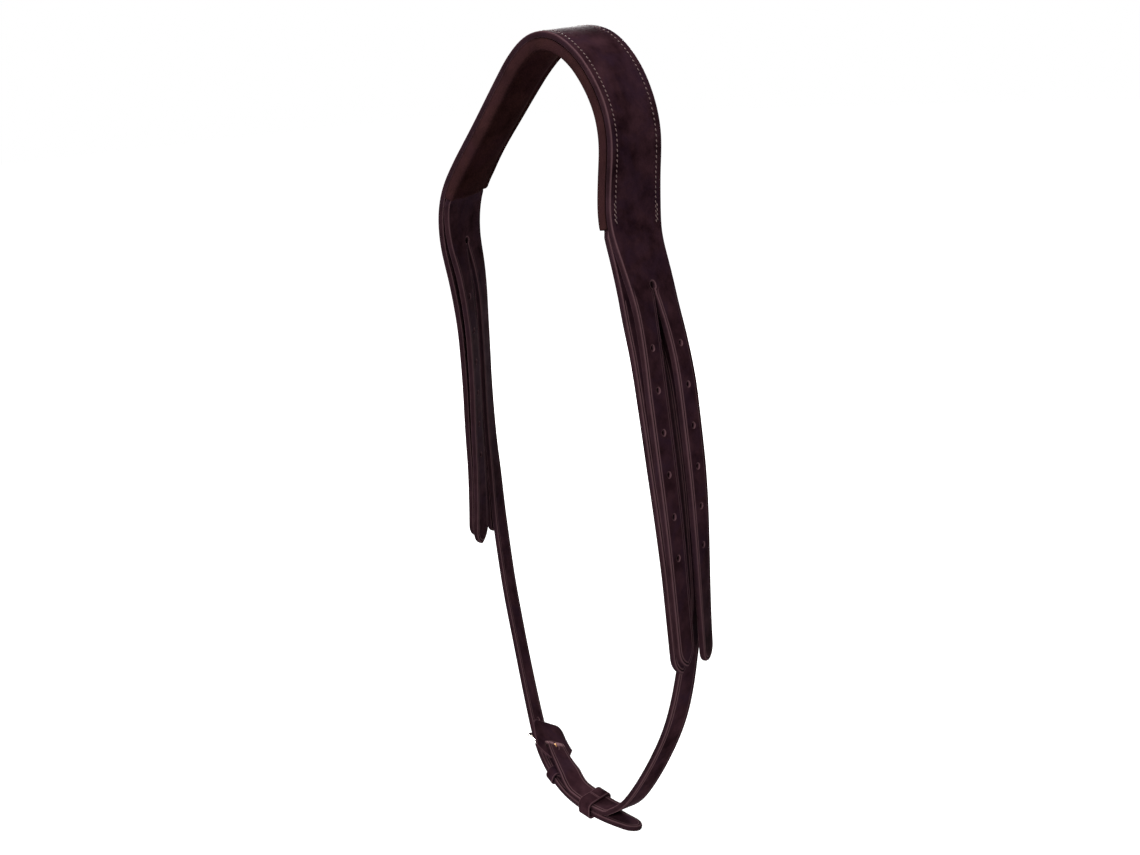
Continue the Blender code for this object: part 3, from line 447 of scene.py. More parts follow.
def bendRoute(table, start, length, reach, side, begin):
    count = int(round(length / step)) + 1
    travelled = np.linspace(0, length, count)
    shares, *columns = np.array(table, float).T
    drop, sway, twist = (np.radians(averaged(np.interp(travelled / reach, shares, column), bendWindow))
                         for column in columns)
    run = np.stack([side * np.cos(drop) * np.cos(sway), np.sin(sway), -np.sin(drop) * np.cos(sway)], -1)
    steps = (run[1:] + run[:-1]) / 2 * length / (count - 1)
    points = np.concatenate([[[0, 0, 0]], np.cumsum(steps, 0)]) + begin
    across = np.stack([side * np.sin(twist), np.cos(twist), 0 * twist], -1)
    return squared(travelled + start, points, run, across, side)


def joined(first, second, seam):
    keep = first.distances < seam - step / 2
    rest = second.distances >= seam - step / 2
    return Route(*[np.concatenate([getattr(first, name)[keep], getattr(second, name)[rest]])
                   for name in Route.names])


def wholeCrown(right, left):
    rows = [np.concatenate([-right.distances[:0:-1], left.distances])]
    for name, sign in (("points", 1), ("run", -1), ("across", 1), ("outward", 1)):
        rows.append(np.concatenate([sign * getattr(right, name)[:0:-1], getattr(left, name)]))
    return Route(*rows)


def innerLevel(distances, side):
    # The inner layer lies under the outer one, and parts from it a little along the arm
    share = shaped(strap["partShape"], np.abs(distances) / strap["armLength"])
    return -layerDrop - strap["layersPart"][side] * averaged(share, bendWindow, {"mode": "edge"})


def turnedToMeet(free, partner, seam):
    wanted = partner.read("across", seam)
    lifted, level = (wanted.dot(free.read(name, seam)) for name in ("outward", "across"))
    angle = math.degrees(math.atan2(lifted, level))
    return free.shifted(0.0, 0.0, angle * (1 - eased((free.distances - seam) / throat["freeEase"])))


def rounded(route, seam, side):
    # Rounds the corner where two bends meet
    reach = throat["cornerEase"]
    window = int(round(reach / step))
    far, fade = throat["cornerFade"]
    weight = eased((far * reach - np.abs(route.distances - seam)) / (fade * reach))[:, None]
    blended = []
    for rows in (route.points, route.across):
        even = [averaged(column, window) for column in rows.T]
        blended.append(rows * (1 - weight) + np.stack(even, -1) * weight)
    points, across = blended
    run = unit(route.run * (1 - weight) + unit(np.gradient(points, axis=0)) * weight)
    return squared(route.distances, points, run, across, side)


def shortThickness(along):
    weight = eased((shortAt - np.asarray(along, float) - throat["turnPly"]) / throat["turnEase"])
    return throat["turnThick"] * (1 - weight) + strap["thick"] * weight


def turnLevel(back):
    beside = -halfThick - throat["besideGap"] - shortThickness(shortAt - back) / 2
    weight = eased((back - throat["turnPly"]) / throat["turnEase"])
    return (mainTop - throat["turnThick"] / 2) * (1 - weight) + beside * weight


def turnedEnd(longStrap):
    half = math.pi * turnRadius
    length = half + throat["turnPly"]
    travelled = np.linspace(0, length, int(round(length / step)) + 1)
    away, across, outward = longStrap.directions(buckleAt)
    towards = -away
    centre = longStrap.place(buckleAt, 0.0, turnCentre)
    angle = np.minimum(travelled / turnRadius, math.pi)[:, None]
    past = np.clip(travelled - half, 0, None)
    flat = (travelled > half)[:, None]
    curve = centre + turnRadius * (np.sin(angle) * towards - np.cos(angle) * outward)
    laid = longStrap.place(buckleAt + past, 0 * past, 0 * past + turnCentre + turnRadius)
    points = np.where(flat, laid, curve)
    laidRun, laidAcross, laidOutward = longStrap.directions(buckleAt + past)
    run = np.where(flat, laidRun, np.cos(angle) * towards + np.sin(angle) * outward)
    lift = np.where(flat, -laidOutward, np.cos(angle) * outward - np.sin(angle) * towards)
    return Route(travelled + shortAt, points, run, np.where(flat, laidAcross, across), lift)


def shortStrapRoute(inner, longStrap, leave):
    length = shortAt - leave
    free = bendRoute(bends["short"], leave, length, length, 1, inner.place(leave, 0.0, 0.0))
    free = turnedToMeet(free, inner, leave)
    back = shortAt - free.distances
    partner = buckleAt + back
    target = longStrap.place(partner, 0 * back, turnLevel(back))
    together = throat["runnerPlace"] + throat["runnerWidth"]
    weight = eased((throat["runnerEase"] + together - back) / throat["runnerEase"])[:, None]
    points = free.points * (1 - weight) + target * weight
    across = free.across * (1 - weight) + longStrap.read("across", partner) * weight
    free = squared(free.distances, points, unit(np.gradient(points, axis=0)), across, 1)
    return joined(joined(inner, free, leave), turnedEnd(longStrap), shortAt)


def makeRoutes():
    seat = np.array([0, 0, seatHeight])
    arm = strap["armLength"]
    reach = arm + max(strap["rearExtra"], strap["innerExtra"]) + strap["spare"]
    twist, twistReach = strap["pollTwist"]
    routes = {}
    for side, sign in sides:
        route = bendRoute(bends[side], 0.0, reach, arm, sign, seat)
        route = route.shifted(0.0, 0.0, twist * (1 - eased(route.distances / twistReach)))
        inner = route.shifted(0.0, innerLevel(route.distances, side))
        routes[side], routes[side + "Inner"] = route, inner
        routes[side + "FrontBillet"] = route.shifted(-billetCentre, 0.0)
        routes[side + "RearBillet"] = route.shifted(billetCentre, 0.0)
        routes[side + "InnerBillet"] = inner.shifted(-billetCentre, 0.0)
    start, length = strap["closing"]
    closing = eased((routes["left"].distances - start * arm) / (length * arm))
    rear = routes["leftRearBillet"].shifted(*[value * closing for value in strap["closingShift"]])
    routes["leftRearBillet"] = rear
    routes["crown"] = wholeCrown(routes["right"], routes["left"])
    routes["crownInner"] = wholeCrown(routes["rightInner"], routes["leftInner"])
    leave = throat["leaveShare"] * arm
    inner = routes["rightInner"].shifted(billetCentre, 0.0)
    free = bendRoute(bends["long"], leave, throat["end"] + strap["spare"] - leave, throat["end"] - leave, -1,
                     inner.place(leave, 0.0, 0.0))
    routes["long"] = rounded(joined(inner, turnedToMeet(free, inner, leave), leave), leave, -1)
    inner = rear.shifted(throat["shortShift"] * closing, innerLevel(routes["left"].distances, "left"))
    routes["short"] = rounded(shortStrapRoute(inner, routes["long"], leave), leave, 1)
    return routes


routes = makeRoutes()
print("routes bent:", len(routes))


# Leather pieces: cut flat, edged, creased and punched, then bent along their routes

# Distance in from the cut edge, how far the face has dropped there, how deep the crease is, how burnished
# with a painted highlight, and how dark the cut side is, partly the edge's dark ink and partly painted shade
# between the layers
edgeRings = (
    (0.0, 0.00105, 0.0, 0.1, 0.55),
    (0.00012, 0.00062, 0.0, 0.15, 0.5),
    (0.00036, 0.00026, 0.0, 0.55, 0.2),
    # the corner of the edge, where the painted highlight is brightest
    (0.00070, 0.00006, 0.0, 1.0),
    (0.00110, 0.0, 0.0, 0.25),
    (0.00132, 0.0, 0.00003, 0.05),
    (0.00146, 0.0, 0.00036, 0.0),
    (0.00176, 0.0, 0.00036, 0.0),
    # the crease's inner lip, a painted highlight
    (0.00192, 0.0, 0.00003, 1.0),
    (0.00235, 0.0, 0.00001, 0.6),
    (0.00270, 0.0, 0.0, 0.0),
)
# The same at a punched hole, in from its dimple's rim, where the pale column is a painted highlight ring; the
# neck is the last
holeRings = (
    (0.0, 0.0, 0.0, 0.0),
    (0.00022, -0.00006, 0.0, 0.75),
    (0.00045, 0.00012, 0.0, 0.9),
    (0.00068, 0.00050, 0.0, 0.25),
    (0.00085, 0.00105, 0.0, 0.0),
)
# Where the creases start, how soon they are full, and the depth at which their painted shade is full
creasing = {"start": strap["splitAt"] - 0.001, "ease": 0.008, "coloured": 0.0004}
# How far apart the cuts lie at which a flat piece can bend
cutEvery = {"crown": 0.0025, "strap": 0.0035, "turn": 0.0006, "turnedPly": 0.003, "guard": 0.002,
            "keeper": 0.0006}


def onRing(spot, along, across, spread, slack=0.01):
    x, y = (spot.x - along) / spread[0], (spot.y - across) / spread[1]
    return abs(x * x + y * y - 1) < slack


def insetRings(bm, face, rings, layers):
    reach = 0.0
    for distance, *values in rings:
        if distance > reach:
            bmesh.ops.inset_region(bm, faces=[face], thickness=distance - reach, use_even_offset=True,
                                   use_boundary=True)
            reach = distance
        for vert in face.verts:
            for layer, value in zip(layers, (*values, 0.0)):
                vert[layer] = value


def cutAcross(bm, spot, square):
    bmesh.ops.bisect_plane(bm, geom=bm.verts[:] + bm.edges[:] + bm.faces[:], dist=0.000002, plane_co=spot,
                           plane_no=square)


def doubled(bm):
    # Adds the other face of a sheet and its walls, and gives the new points
    made = bmesh.ops.extrude_face_region(bm, geom=bm.faces[:], use_keep_orig=True)
    return [thing for thing in made["geom"] if isinstance(thing, bmesh.types.BMVert)]


def faceOut(bm):
    bmesh.ops.recalc_face_normals(bm, faces=bm.faces)
    if bm.calc_volume(signed=True) < 0:
        bmesh.ops.reverse_faces(bm, faces=bm.faces)


def flatLeather(outline, holes, rings, bendLines, lengthwise=()):
    # outline: corners; holes: (along, across, length, width); bendLines: where the sheet may bend
    bm = bmesh.new()
    layers = [bm.verts.layers.float.new(name) for name in ("drop", "groove", "rim", "inkAndShade")]
    face = bm.faces.new([bm.verts.new((along, across, 0)) for along, across in outline])
    bm.normal_update()
    if face.normal.z < 0:
        face.normal_flip()
    insetRings(bm, face, rings, layers)
    if holes:
        openEdges = list(face.edges)
        bmesh.ops.delete(bm, geom=[face], context="FACES_ONLY")
        grown = holeRings[-1][0]
        for along, across, length, width in holes:
            spread = (length / 2 + grown, width / 2 + grown)
            place = Matrix.Translation((along, across, 0)) @ Matrix.Diagonal((*spread, 1, 1))
            made = bmesh.ops.create_circle(bm, cap_ends=True, segments=16, radius=1.0, matrix=place)
            cap = made["verts"][0].link_faces[0]
            insetRings(bm, cap, holeRings, layers)
            bmesh.ops.delete(bm, geom=[cap], context="FACES_ONLY")
            # The insets move the first edges inwards, so the outer ring is found by its place
            openEdges += [edge for edge in bm.edges if edge.is_boundary
                          and all(onRing(vert.co, along, across, spread) for vert in edge.verts)]
        bmesh.ops.triangle_fill(bm, use_beauty=True, use_dissolve=False, edges=openEdges, normal=(0, 0, 1))
    for line in bendLines:
        cutAcross(bm, (line, 0, 0), (1, 0, 0))
    for line in lengthwise:
        cutAcross(bm, (0, line, 0), (0, 1, 0))
    under = bm.verts.layers.float.new("under")
    for vert in doubled(bm):
        vert[under] = 1.0
    return bm


def lines(start, end, step):
    count = max(1, int(math.ceil(abs(end - start) / step - 1e-6)))
    return [start + (end - start) * i / count for i in range(1, count)]


def pointedTip(end, length, half, steps=8):
    radius = (half * half + length * length) / (2 * half)
    reaches = [length * i / steps for i in range(steps + 1)]
    return [(end - length + r, math.sqrt(radius * radius - r * r) - radius + half) for r in reaches]


def roundTip(end, length, half, steps=8):
    angles = [math.pi / 2 * i / steps for i in range(steps + 1)]
    return [(end - length + length * math.sin(a), half * math.cos(a)) for a in angles]


def strapEnd(front, rear, flareSteps=8, holeSteps=12):
    # Both straps of one end, from the front edge round both tips and the split to the rear edge
    tips = []
    for reach in (pointedTip(front, strap["pointLength"], billetHalf),
                  roundTip(rear, strap["roundLength"], billetHalf)):
        tips.append([(x, -y) for x, y in reach] + [(x, y) for x, y in reach[-2::-1]])
    slit, inner = strap["splitSlit"] / 2, billetCentre - billetHalf
    shares = [i / flareSteps for i in range(flareSteps, -1, -1)]
    slope = [(rootAt + strap["splitFlare"] * s, slit + (inner - slit) * (1 - (1 - s) ** 2)) for s in shares]
    radius = strap["splitHole"] / 2
    first = math.asin(slit / radius)
    points = [(x, y - billetCentre) for x, y in tips[0]] + [(x, -y) for x, y in slope]
    for i in range(holeSteps + 1):
        angle = -first - (2 * math.pi - 2 * first) * i / holeSteps
        points.append((strap["splitAt"] + radius * math.cos(angle), radius * math.sin(angle)))
    return points + slope[::-1] + [(x, y + billetCentre) for x, y in tips[1]]


def mirrored(points):
    return [(-x, y) for x, y in points][::-1]


def billetHoles(side, centre):
    first = strap["splitAt"] + strap["firstHole"]
    return [(side * (first + i * strap["holePitch"]), centre, *strap["holeSize"])
            for i in range(strap["holeCount"])]


def takePart(bm, wanted, side=1):
    part = bm.copy()
    unwanted = [face for face in part.faces if not wanted(*face.calc_center_bounds()[:2])]
    bmesh.ops.delete(part, geom=unwanted, context="FACES")
    openEdges = [edge for edge in part.edges if edge.is_boundary]
    if openEdges:
        for cap in bmesh.ops.holes_fill(part, edges=openEdges, sides=0)["faces"]:
            for edge in cap.edges:
                edge.smooth = False
    for vert in part.verts:
        vert.co.x *= side
    return part


def bendPart(part, route, centre=0.0, thick=strap["thick"], creaseFrom=creasing["start"], level=0.0,
             thickness=None, sunk=None, narrow=None):
    # Puts a flat part on its route and turns its layers into heights
    layers = [part.verts.layers.float[name] for name in ("drop", "groove", "rim", "under", "inkAndShade")]
    along, flatAcross, flat = coordinates(part.verts).T
    drop, groove, rim, under, inkAndShade = np.array([[vert[layer] for layer in layers] for vert in part.verts]).T
    across = flatAcross - centre
    if narrow is not None:
        across = across * narrow(along)
    depth = drop * thick / strap["thick"]
    crease = groove * eased((np.abs(along) - creaseFrom) / creasing["ease"])
    # The crease's painted shade and the painted highlights on its two lips grow as deep as they are pressed
    pressed = np.where(groove > 0, crease / np.maximum(groove, 1e-9), 1.0)
    top = thick / 2 - depth - crease
    if sunk is not None:
        top = top - sunk(along, flatAcross)
    lift = np.where(under > 0.5, -(thick / 2 - depth), top)
    if thickness is not None:
        lift = lift * thickness(along) / thick
    places = route.place(along, across, lift + level)
    # Painted shade: dark in the crease, and on the cut side both its ink and painted shade between the layers
    inkedAndShaded = np.minimum(np.maximum(crease / creasing["coloured"], inkAndShade), 1.0)
    for vert, place, dark, pale in zip(part.verts, places, inkedAndShaded, rim * pressed):
        vert.co = place
        vert[layers[1]] = dark
        vert[layers[2]] = pale
    faceOut(part)
    return part


def finishPiece(name, bm, replaced=(), finish="leather", body="headpiece"):
    mesh = bpy.data.meshes.new(name)
    for face in bm.faces:
        face.smooth = True
    bm.to_mesh(mesh)
    bm.free()
    mesh.materials.append(finishes[finish])
    piece = addObject(name, mesh)
    if body:
        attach(piece, body)
    if replaced:
        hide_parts(*replaced)
    return piece


# Stitching: two rows through crown and pad, sunk in a shallow channel on top
stitching = {
    "pitch": 0.0023, "row": 0.0138, "half": 0.1075, "channel": 0.0006, "channelPast": 0.002,
    "depth": 0.00018, "sunk": 0.4, "below": 0.00005, "thread": (0.00034, 0.00026),
    # the stitches that lock a row: how many, how far in, beside and above
    "locked": 4, "lockAfter": 0.4, "lockBeside": 0.0008, "lockAbove": 0.0001,
    # length of a stitch and its slant in degrees
    "top": (0.00155, 20), "under": (0.0019, -14),
}


def channel(along, across):
    near = 1 - np.abs(np.abs(across) - stitching["row"]) / stitching["channel"]
    reached = np.abs(along) < stitching["half"] + stitching["channelPast"]
    return stitching["depth"] * np.clip(near, 0, 1) * reached


# Poll pad: soft leather over a felt roll, sewn through at both edges
pad = {
    "skin": 0.0011, "margin": 0.0042,
    "fill": ((0.0, 1.0), (0.35, 0.97), (0.62, 0.84), (0.82, 0.60), (0.94, 0.32), (1.0, 0.0)),
    "roll": 0.0022, "rollEnd": 0.4, "gapShare": 0.3,
    "rollShape": ((0.0, 0.0), (0.15, 0.5), (0.35, 0.9), (0.6, 1.0), (0.82, 0.8), (1.0, 0.3)),
    "endEase": 0.014, "endDrop": 0.5, "endRound": (0.0003, 0.0012),
    # the edge that is turned up over the inner layer, and where it bulges and tucks in
    "wrap": 0.0008, "wrapClear": (0.0002, 0.003), "wrapTop": 0.00325,
    "wrapCuts": (0.03, 0.12, 0.3, 0.5, 0.7, 0.88, 0.97), "wrapBulge": 0.00035,
    "wrapLow": 0.3, "wrapRound": 0.6, "wrapTuck": (0.0003, 0.85, 0.15), "wrapBeside": (0.0001, 0.0003),
    # how pale the skin is along its edges and ends, rubbed there and with a painted sheen, and over what
    # width
    "rubbedAndSheen": 0.2, "rubbedAndSheenWidth": 0.0022,
    # the simulation: point spacing, filling before it, what is held, and the most that it may add
    "grid": 0.00115, "rows": 32, "slack": 0.9, "heldBeside": 0.55, "heldBeyond": 0.0008, "heldEnd": 0.0015,
    "cloth": {"use_pressure": True, "uniform_pressure_force": 4.0, "tension_stiffness": 8.0,
              "compression_stiffness": 8.0, "bending_stiffness": 0.3, "quality": 6},
    "frames": 20, "swell": 0.0003, "slide": 0.0004, "thinnest": 0.6,
}


def makeBillet(sheet, side, sign, place):
    # A billet stays with the crown at its root and follows its own body further down
    node = side + "_" + place.lower() + "_billet"
    centre = billetCentre if place == "Rear" else -billetCentre
    part = takePart(sheet, lambda x, y: x * sign > rootAt and (y > 0) == (centre > 0), sign)
    route = routes[side + place + "Billet"]
    piece = finishPiece(side + place + "BilletLeather", bendPart(part, route, centre), [node], body=None)
    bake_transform(piece, "headpiece", node, start=route.place(rootAt, 0.0, 0.0),
             end=route.place(rootAt + strap["hingeReach"], 0.0, 0.0))


def makeOuterLayer():
    rear = strap["armLength"] + strap["rearExtra"]
    leftEnd = strapEnd(strap["armLength"], rear)
    holes, bendLines = [], list(crownLines)
    for side in (1, -1):
        holes += billetHoles(side, -billetCentre) + billetHoles(side, billetCentre)
        bendLines += [side * line for line in lines(rootAt, rear, cutEvery["strap"])]
    row, wide = stitching["row"], stitching["channel"]
    rows = [sign * (row + shift) for sign in (1, -1) for shift in (-wide, 0, wide)]
    sheet = flatLeather(leftEnd + mirrored(leftEnd), holes, edgeRings, bendLines, rows)
    crown = bendPart(takePart(sheet, lambda x, y: abs(x) < rootAt), routes["crown"], sunk=channel)
    finishPiece("crownOuterLeather", crown, ["crown_outer"])
    for side, sign in sides:
        for place in ("Front", "Rear"):
            makeBillet(sheet, side, sign, place)
    sheet.free()
    print("outer layer cut and bent")


def makeInnerLayer():
    front, shortEnd = strap["armLength"] + strap["innerExtra"], turnEnd + throat["turnPly"]
    outline = strapEnd(front, shortEnd) + mirrored(strapEnd(front, throat["end"]))
    holes = billetHoles(1, -billetCentre) + billetHoles(-1, -billetCentre)
    for i in range(throat["holes"]):
        along = buckleAt - throat["holeToBar"] + (i - throat["holesAbove"]) * strap["holePitch"]
        size = throat["tongueHole"] if i == throat["holesAbove"] else strap["holeSize"]
        holes.append((-along, billetCentre, *size))
    fold, foldHalf = (turnEnd + shortAt) / 2, (turnEnd - shortAt) / 2
    slotLength = turnEnd - shortAt + 2 * throat["turnSlotReach"]
    holes.append((fold, billetCentre, slotLength, throat["turnSlot"]))
    before, after = shortAt - throat["turnBeside"], turnEnd + throat["turnBeside"]
    bendLines = crownLines + [-line for line in lines(rootAt, throat["end"], cutEvery["strap"])]
    bendLines += lines(rootAt, before, cutEvery["strap"]) + lines(before, after, cutEvery["turn"])
    bendLines += lines(after, shortEnd, cutEvery["turnedPly"])
    sheet = flatLeather(outline, holes, edgeRings, bendLines)
    # The crown is a little narrower under the pad's turned-up edge
    clear, ease = pad["wrapClear"]
    covered = (pad["wrap"] + clear) / crownHalf
    crown = bendPart(takePart(sheet, lambda x, y: abs(x) < rootAt), routes["crownInner"], creaseFrom=math.inf,
                     narrow=lambda along: 1 - covered * eased((padHalf + ease - np.abs(along)) / ease))
    finishPiece("crownInnerLeather", crown, ["crown_inner"])
    for side, sign in sides:
        makeBillet(sheet, side, sign, "Inner")
    part = bendPart(takePart(sheet, lambda x, y: x < -rootAt and y > 0, -1), routes["long"], billetCentre)
    finishPiece("throatStrapLongLeather", part, ["throat_strap_long"])
    part = takePart(sheet, lambda x, y: x > rootAt and y > 0)
    # The fold is paler where it turns: rubbed, and with a painted highlight
    rim = part.verts.layers.float["rim"]
    for vert in part.verts:
        past = (abs(vert.co.x - fold) - foldHalf) / throat["foldFade"]
        vert[rim] = max(vert[rim], throat["foldRubbedAndLit"] * min(1.0, 1.0 - past))
    bendPart(part, routes["short"], billetCentre, thickness=shortThickness)
    finishPiece("throatStrapShortLeather", part, ["throat_strap_short"])
    sheet.free()
    print("inner layer cut and bent")


crownLines = lines(-rootAt, rootAt, cutEvery["crown"]) + [-rootAt, rootAt]
makeOuterLayer()
makeInnerLayer()


def padDepth(along, across, share=1.0):
    fillHalf = crownHalf - pad["margin"]
    filled = shaped(pad["fill"], np.abs(across) / fillHalf) * (strap["padDepth"] - pad["skin"])
    beyond = (np.abs(across) - fillHalf) / pad["margin"]
    rolled = shaped(pad["rollShape"], beyond) * (pad["roll"] - pad["skin"])
    ease = eased((padHalf - np.abs(along)) / pad["endEase"])
    filled = filled * share * (1 - pad["endDrop"] * (1 - ease))
    return pad["skin"] + (filled + rolled * (pad["rollEnd"] + (1 - pad["rollEnd"]) * ease))


def swollen(mesh, shape, limit):
    # Swells the sheet under pressure, held at its stitches, edges and ends
    row = crownHalf - pad["margin"]
    sheet = addObject("padSheet", mesh)
    held = sheet.vertex_groups.new(name="sewn")
    for index, (along, across, depth) in enumerate(shape):
        onRow = abs(abs(across) - row) < pad["grid"] * pad["heldBeside"]
        onRow = onRow and int(round(along / pad["grid"])) % 2 == 0
        atEdge = abs(across) > row + pad["heldBeyond"] or abs(along) > padHalf - pad["heldEnd"]
        if onRow or atEdge:
            held.add([index], 1.0, "REPLACE")
    cloth = sheet.modifiers.new("cloth", "CLOTH")
    cloth.settings.vertex_group_mass = "sewn"
    cloth.settings.effector_weights.gravity = 0.0
    for name, value in pad["cloth"].items():
        setattr(cloth.settings, name, value)
    cloth.collision_settings.use_collision = False
    cloth.point_cache.frame_start = 1
    cloth.point_cache.frame_end = pad["frames"]
    for number in range(1, pad["frames"] + 1):
        bpy.context.scene.frame_set(number)
    moved = sheet.evaluated_get(bpy.context.evaluated_depsgraph_get())
    result = coordinates(moved.data.vertices)
    bpy.data.objects.remove(sheet, do_unlink=True)
    shape[:, 2] = -np.clip(-result[:, 2], pad["skin"] * pad["thinnest"], limit)
    shape[:, :2] += np.clip(result[:, :2] - shape[:, :2], -pad["slide"], pad["slide"])
    print("pad simulated, depth", round(float(-shape[:, 2].min() * 1000), 2), "mm")


def makePad():
    half, edge = padHalf, crownHalf
    bm = bmesh.new()
    bmesh.ops.create_grid(bm, x_segments=int(round(2 * half / pad["grid"])), y_segments=pad["rows"], size=1.0)
    bmesh.ops.scale(bm, vec=(half, edge, 1), verts=bm.verts)
    beside, near = pad["wrapBeside"]
    for line in (edge - pad["wrap"], edge - pad["wrap"] - beside, edge - near):
        for sign in (1, -1):
            cutAcross(bm, (0, sign * line, 0), (0, 1, 0))
    along, across, out = coordinates(bm.verts).T
    for vert, depth in zip(bm.verts, padDepth(along, across, pad["slack"])):
        vert.co.z = -depth
    for face in bm.faces:
        face.normal_flip()
    mesh = bpy.data.meshes.new("padSheet")
    bm.to_mesh(mesh)
    bm.free()
    shape = coordinates(mesh.vertices)
    # The swelling is held to the solid's depth and a little over
    swollen(mesh, shape, padDepth(along, across) + pad["swell"])
    bm = bmesh.new()
    bm.from_mesh(mesh)
    bpy.data.meshes.remove(mesh)
    rim = bm.verts.layers.float.new("rim")
    # The skin is rounded over at the ends and lighter along its edges and ends, rubbed there and with a
    # painted sheen
    drop, reach = pad["endRound"]
    for vert, place, fromEdge, fromEnd in zip(bm.verts, shape, edge - np.abs(across), half - np.abs(along)):
        vert.co = place
        vert.co.z += drop * float(1 - eased(fromEnd / reach))
        vert[rim] = pad["rubbedAndSheen"] * float(1 - eased(min(fromEdge, fromEnd) / pad["rubbedAndSheenWidth"]))
    for vert in doubled(bm):
        vert.co.z = pad["wrapTop"] if abs(vert.co.y) > edge - pad["wrap"] - beside / 2 else 0.0
    for share in pad["wrapCuts"]:
        cutAcross(bm, (0, 0, pad["wrapTop"] * share), (0, 0, 1))
    low = -pad["skin"] - (pad["roll"] - pad["skin"]) * pad["wrapLow"]
    tuck, start, length = pad["wrapTuck"]
    for vert in bm.verts:
        if abs(vert.co.y) > edge - 0.00001:
            share = (vert.co.z - low) / (pad["wrapTop"] - low)
            bulge = pad["wrapBulge"] * math.sin(math.pi * min(max(share, 0), 1)) ** pad["wrapRound"]
            bulge -= tuck * max(0.0, share - start) / length
            vert.co.y += math.copysign(bulge, vert.co.y)
    lift = -(layerDrop + halfThick + gap * pad["gapShare"])
    along, across, out = coordinates(bm.verts).T
    for vert, place in zip(bm.verts, routes["crown"].place(along, across, out + lift)):
        vert.co = place
    faceOut(bm)
    piece = finishPiece("pollPadLining", bm, ["pad_lining", "pad_foam"], "lining")


makePad()
print("poll pad made")


def makeStitches(name, runs, length, slant):
    # runs: places along, distance across, height above the crown's middle
    route = routes["crown"]
    lean = Matrix.Rotation(math.radians(slant), 4, "Z")
    size = Matrix.Diagonal((length / 2, *stitching["thread"], 1))
    bm = bmesh.new()
    for places, across, height in runs:
        for along in places:
            made = bmesh.ops.create_uvsphere(bm, u_segments=8, v_segments=5, radius=1.0)
            spot = Matrix.Translation(route.place(along, across, height))
            turn = Matrix([Vector(row) for row in route.directions(along)]).transposed().to_4x4()
            bmesh.ops.transform(bm, matrix=spot @ turn @ lean @ size, verts=made["verts"])
    faceOut(bm)
    finishPiece(name, bm, (), "thread")


def crownStitches():
    pitch, half, row = stitching["pitch"], stitching["half"], stitching["row"]
    count = int(round(2 * half / pitch))
    places = [-half + 2 * half * i / count for i in range(count + 1)]
    top = halfThick - stitching["depth"] * stitching["sunk"]
    # The last stitches go back beside the row and lock it
    back = [end * (half - pitch * (i + stitching["lockAfter"]))
            for end in (1, -1) for i in range(stitching["locked"])]
    runs = [(places, side * row, top) for side in (1, -1)]
    runs += [(back, side * (row + stitching["lockBeside"]), top + stitching["lockAbove"])
             for side in (1, -1)]
    makeStitches("crownStitches", runs, *stitching["top"])
    under = -(layerDrop + halfThick + pad["skin"] + stitching["below"])
    makeStitches("padStitches", [(places, side * row, under) for side in (1, -1)], *stitching["under"])


crownStitches()
print("stitches sewn")

# Buckle: a small bent frame with its bar in the turned strap, and a tongue of drawn wire
buckle = {
    "frameLength": 0.015, "frameRadius": 0.0011, "sidePlay": 0.00075,
    "corner": 0.0032, "tongueRadius": 0.0008, "tonguePlay": 0.00025,
    "eyeRadius": 0.0029, "eyeSteps": 24, "tongueTip": 0.6,
    # share of the way forward and of the way up from the bar
    "rise": ((0.02, 0.17), (0.06, 0.33), (0.14, 0.49), (0.25, 0.64), (0.40, 0.80), (0.61, 0.93),
             (0.82, 0.99), (1.0, 1.0), (1.2, 0.985)),
}


def roundBar(name, points, radii, cyclic, finish, node):
    curve = bpy.data.curves.new(name, "CURVE")
    curve.dimensions = "3D"
    curve.bevel_depth = 1.0
    curve.bevel_resolution = 5
    curve.use_fill_caps = not cyclic
    spline = curve.splines.new("POLY")
    spline.points.add(len(points) - 1)
    for place, point, radius in zip(points, spline.points, radii):
        point.co = (*place, 1)
        point.radius = radius
    spline.use_cyclic_u = cyclic
    holder = addObject(name, curve)
    mesh = bpy.data.meshes.new_from_object(holder.evaluated_get(bpy.context.evaluated_depsgraph_get()))
    bpy.data.objects.remove(holder, do_unlink=True)
    bm = bmesh.new()
    bm.from_mesh(mesh)
    bpy.data.meshes.remove(mesh)
    bmesh.ops.remove_doubles(bm, verts=bm.verts, dist=0.000005)
    faceOut(bm)
    finishPiece(name, bm, [node], finish, node)


def roundedRectangle(x0, x1, y0, y1, radius, steps=8):
    points = []
    corners = ((x1 - radius, y1 - radius), (x0 + radius, y1 - radius), (x0 + radius, y0 + radius),
               (x1 - radius, y0 + radius))
    for quarter, (x, y) in enumerate(corners):
        for i in range(steps + 1):
            angle = math.pi / 2 * (quarter + i / steps)
            points.append((x + radius * math.cos(angle), y + radius * math.sin(angle)))
    return points


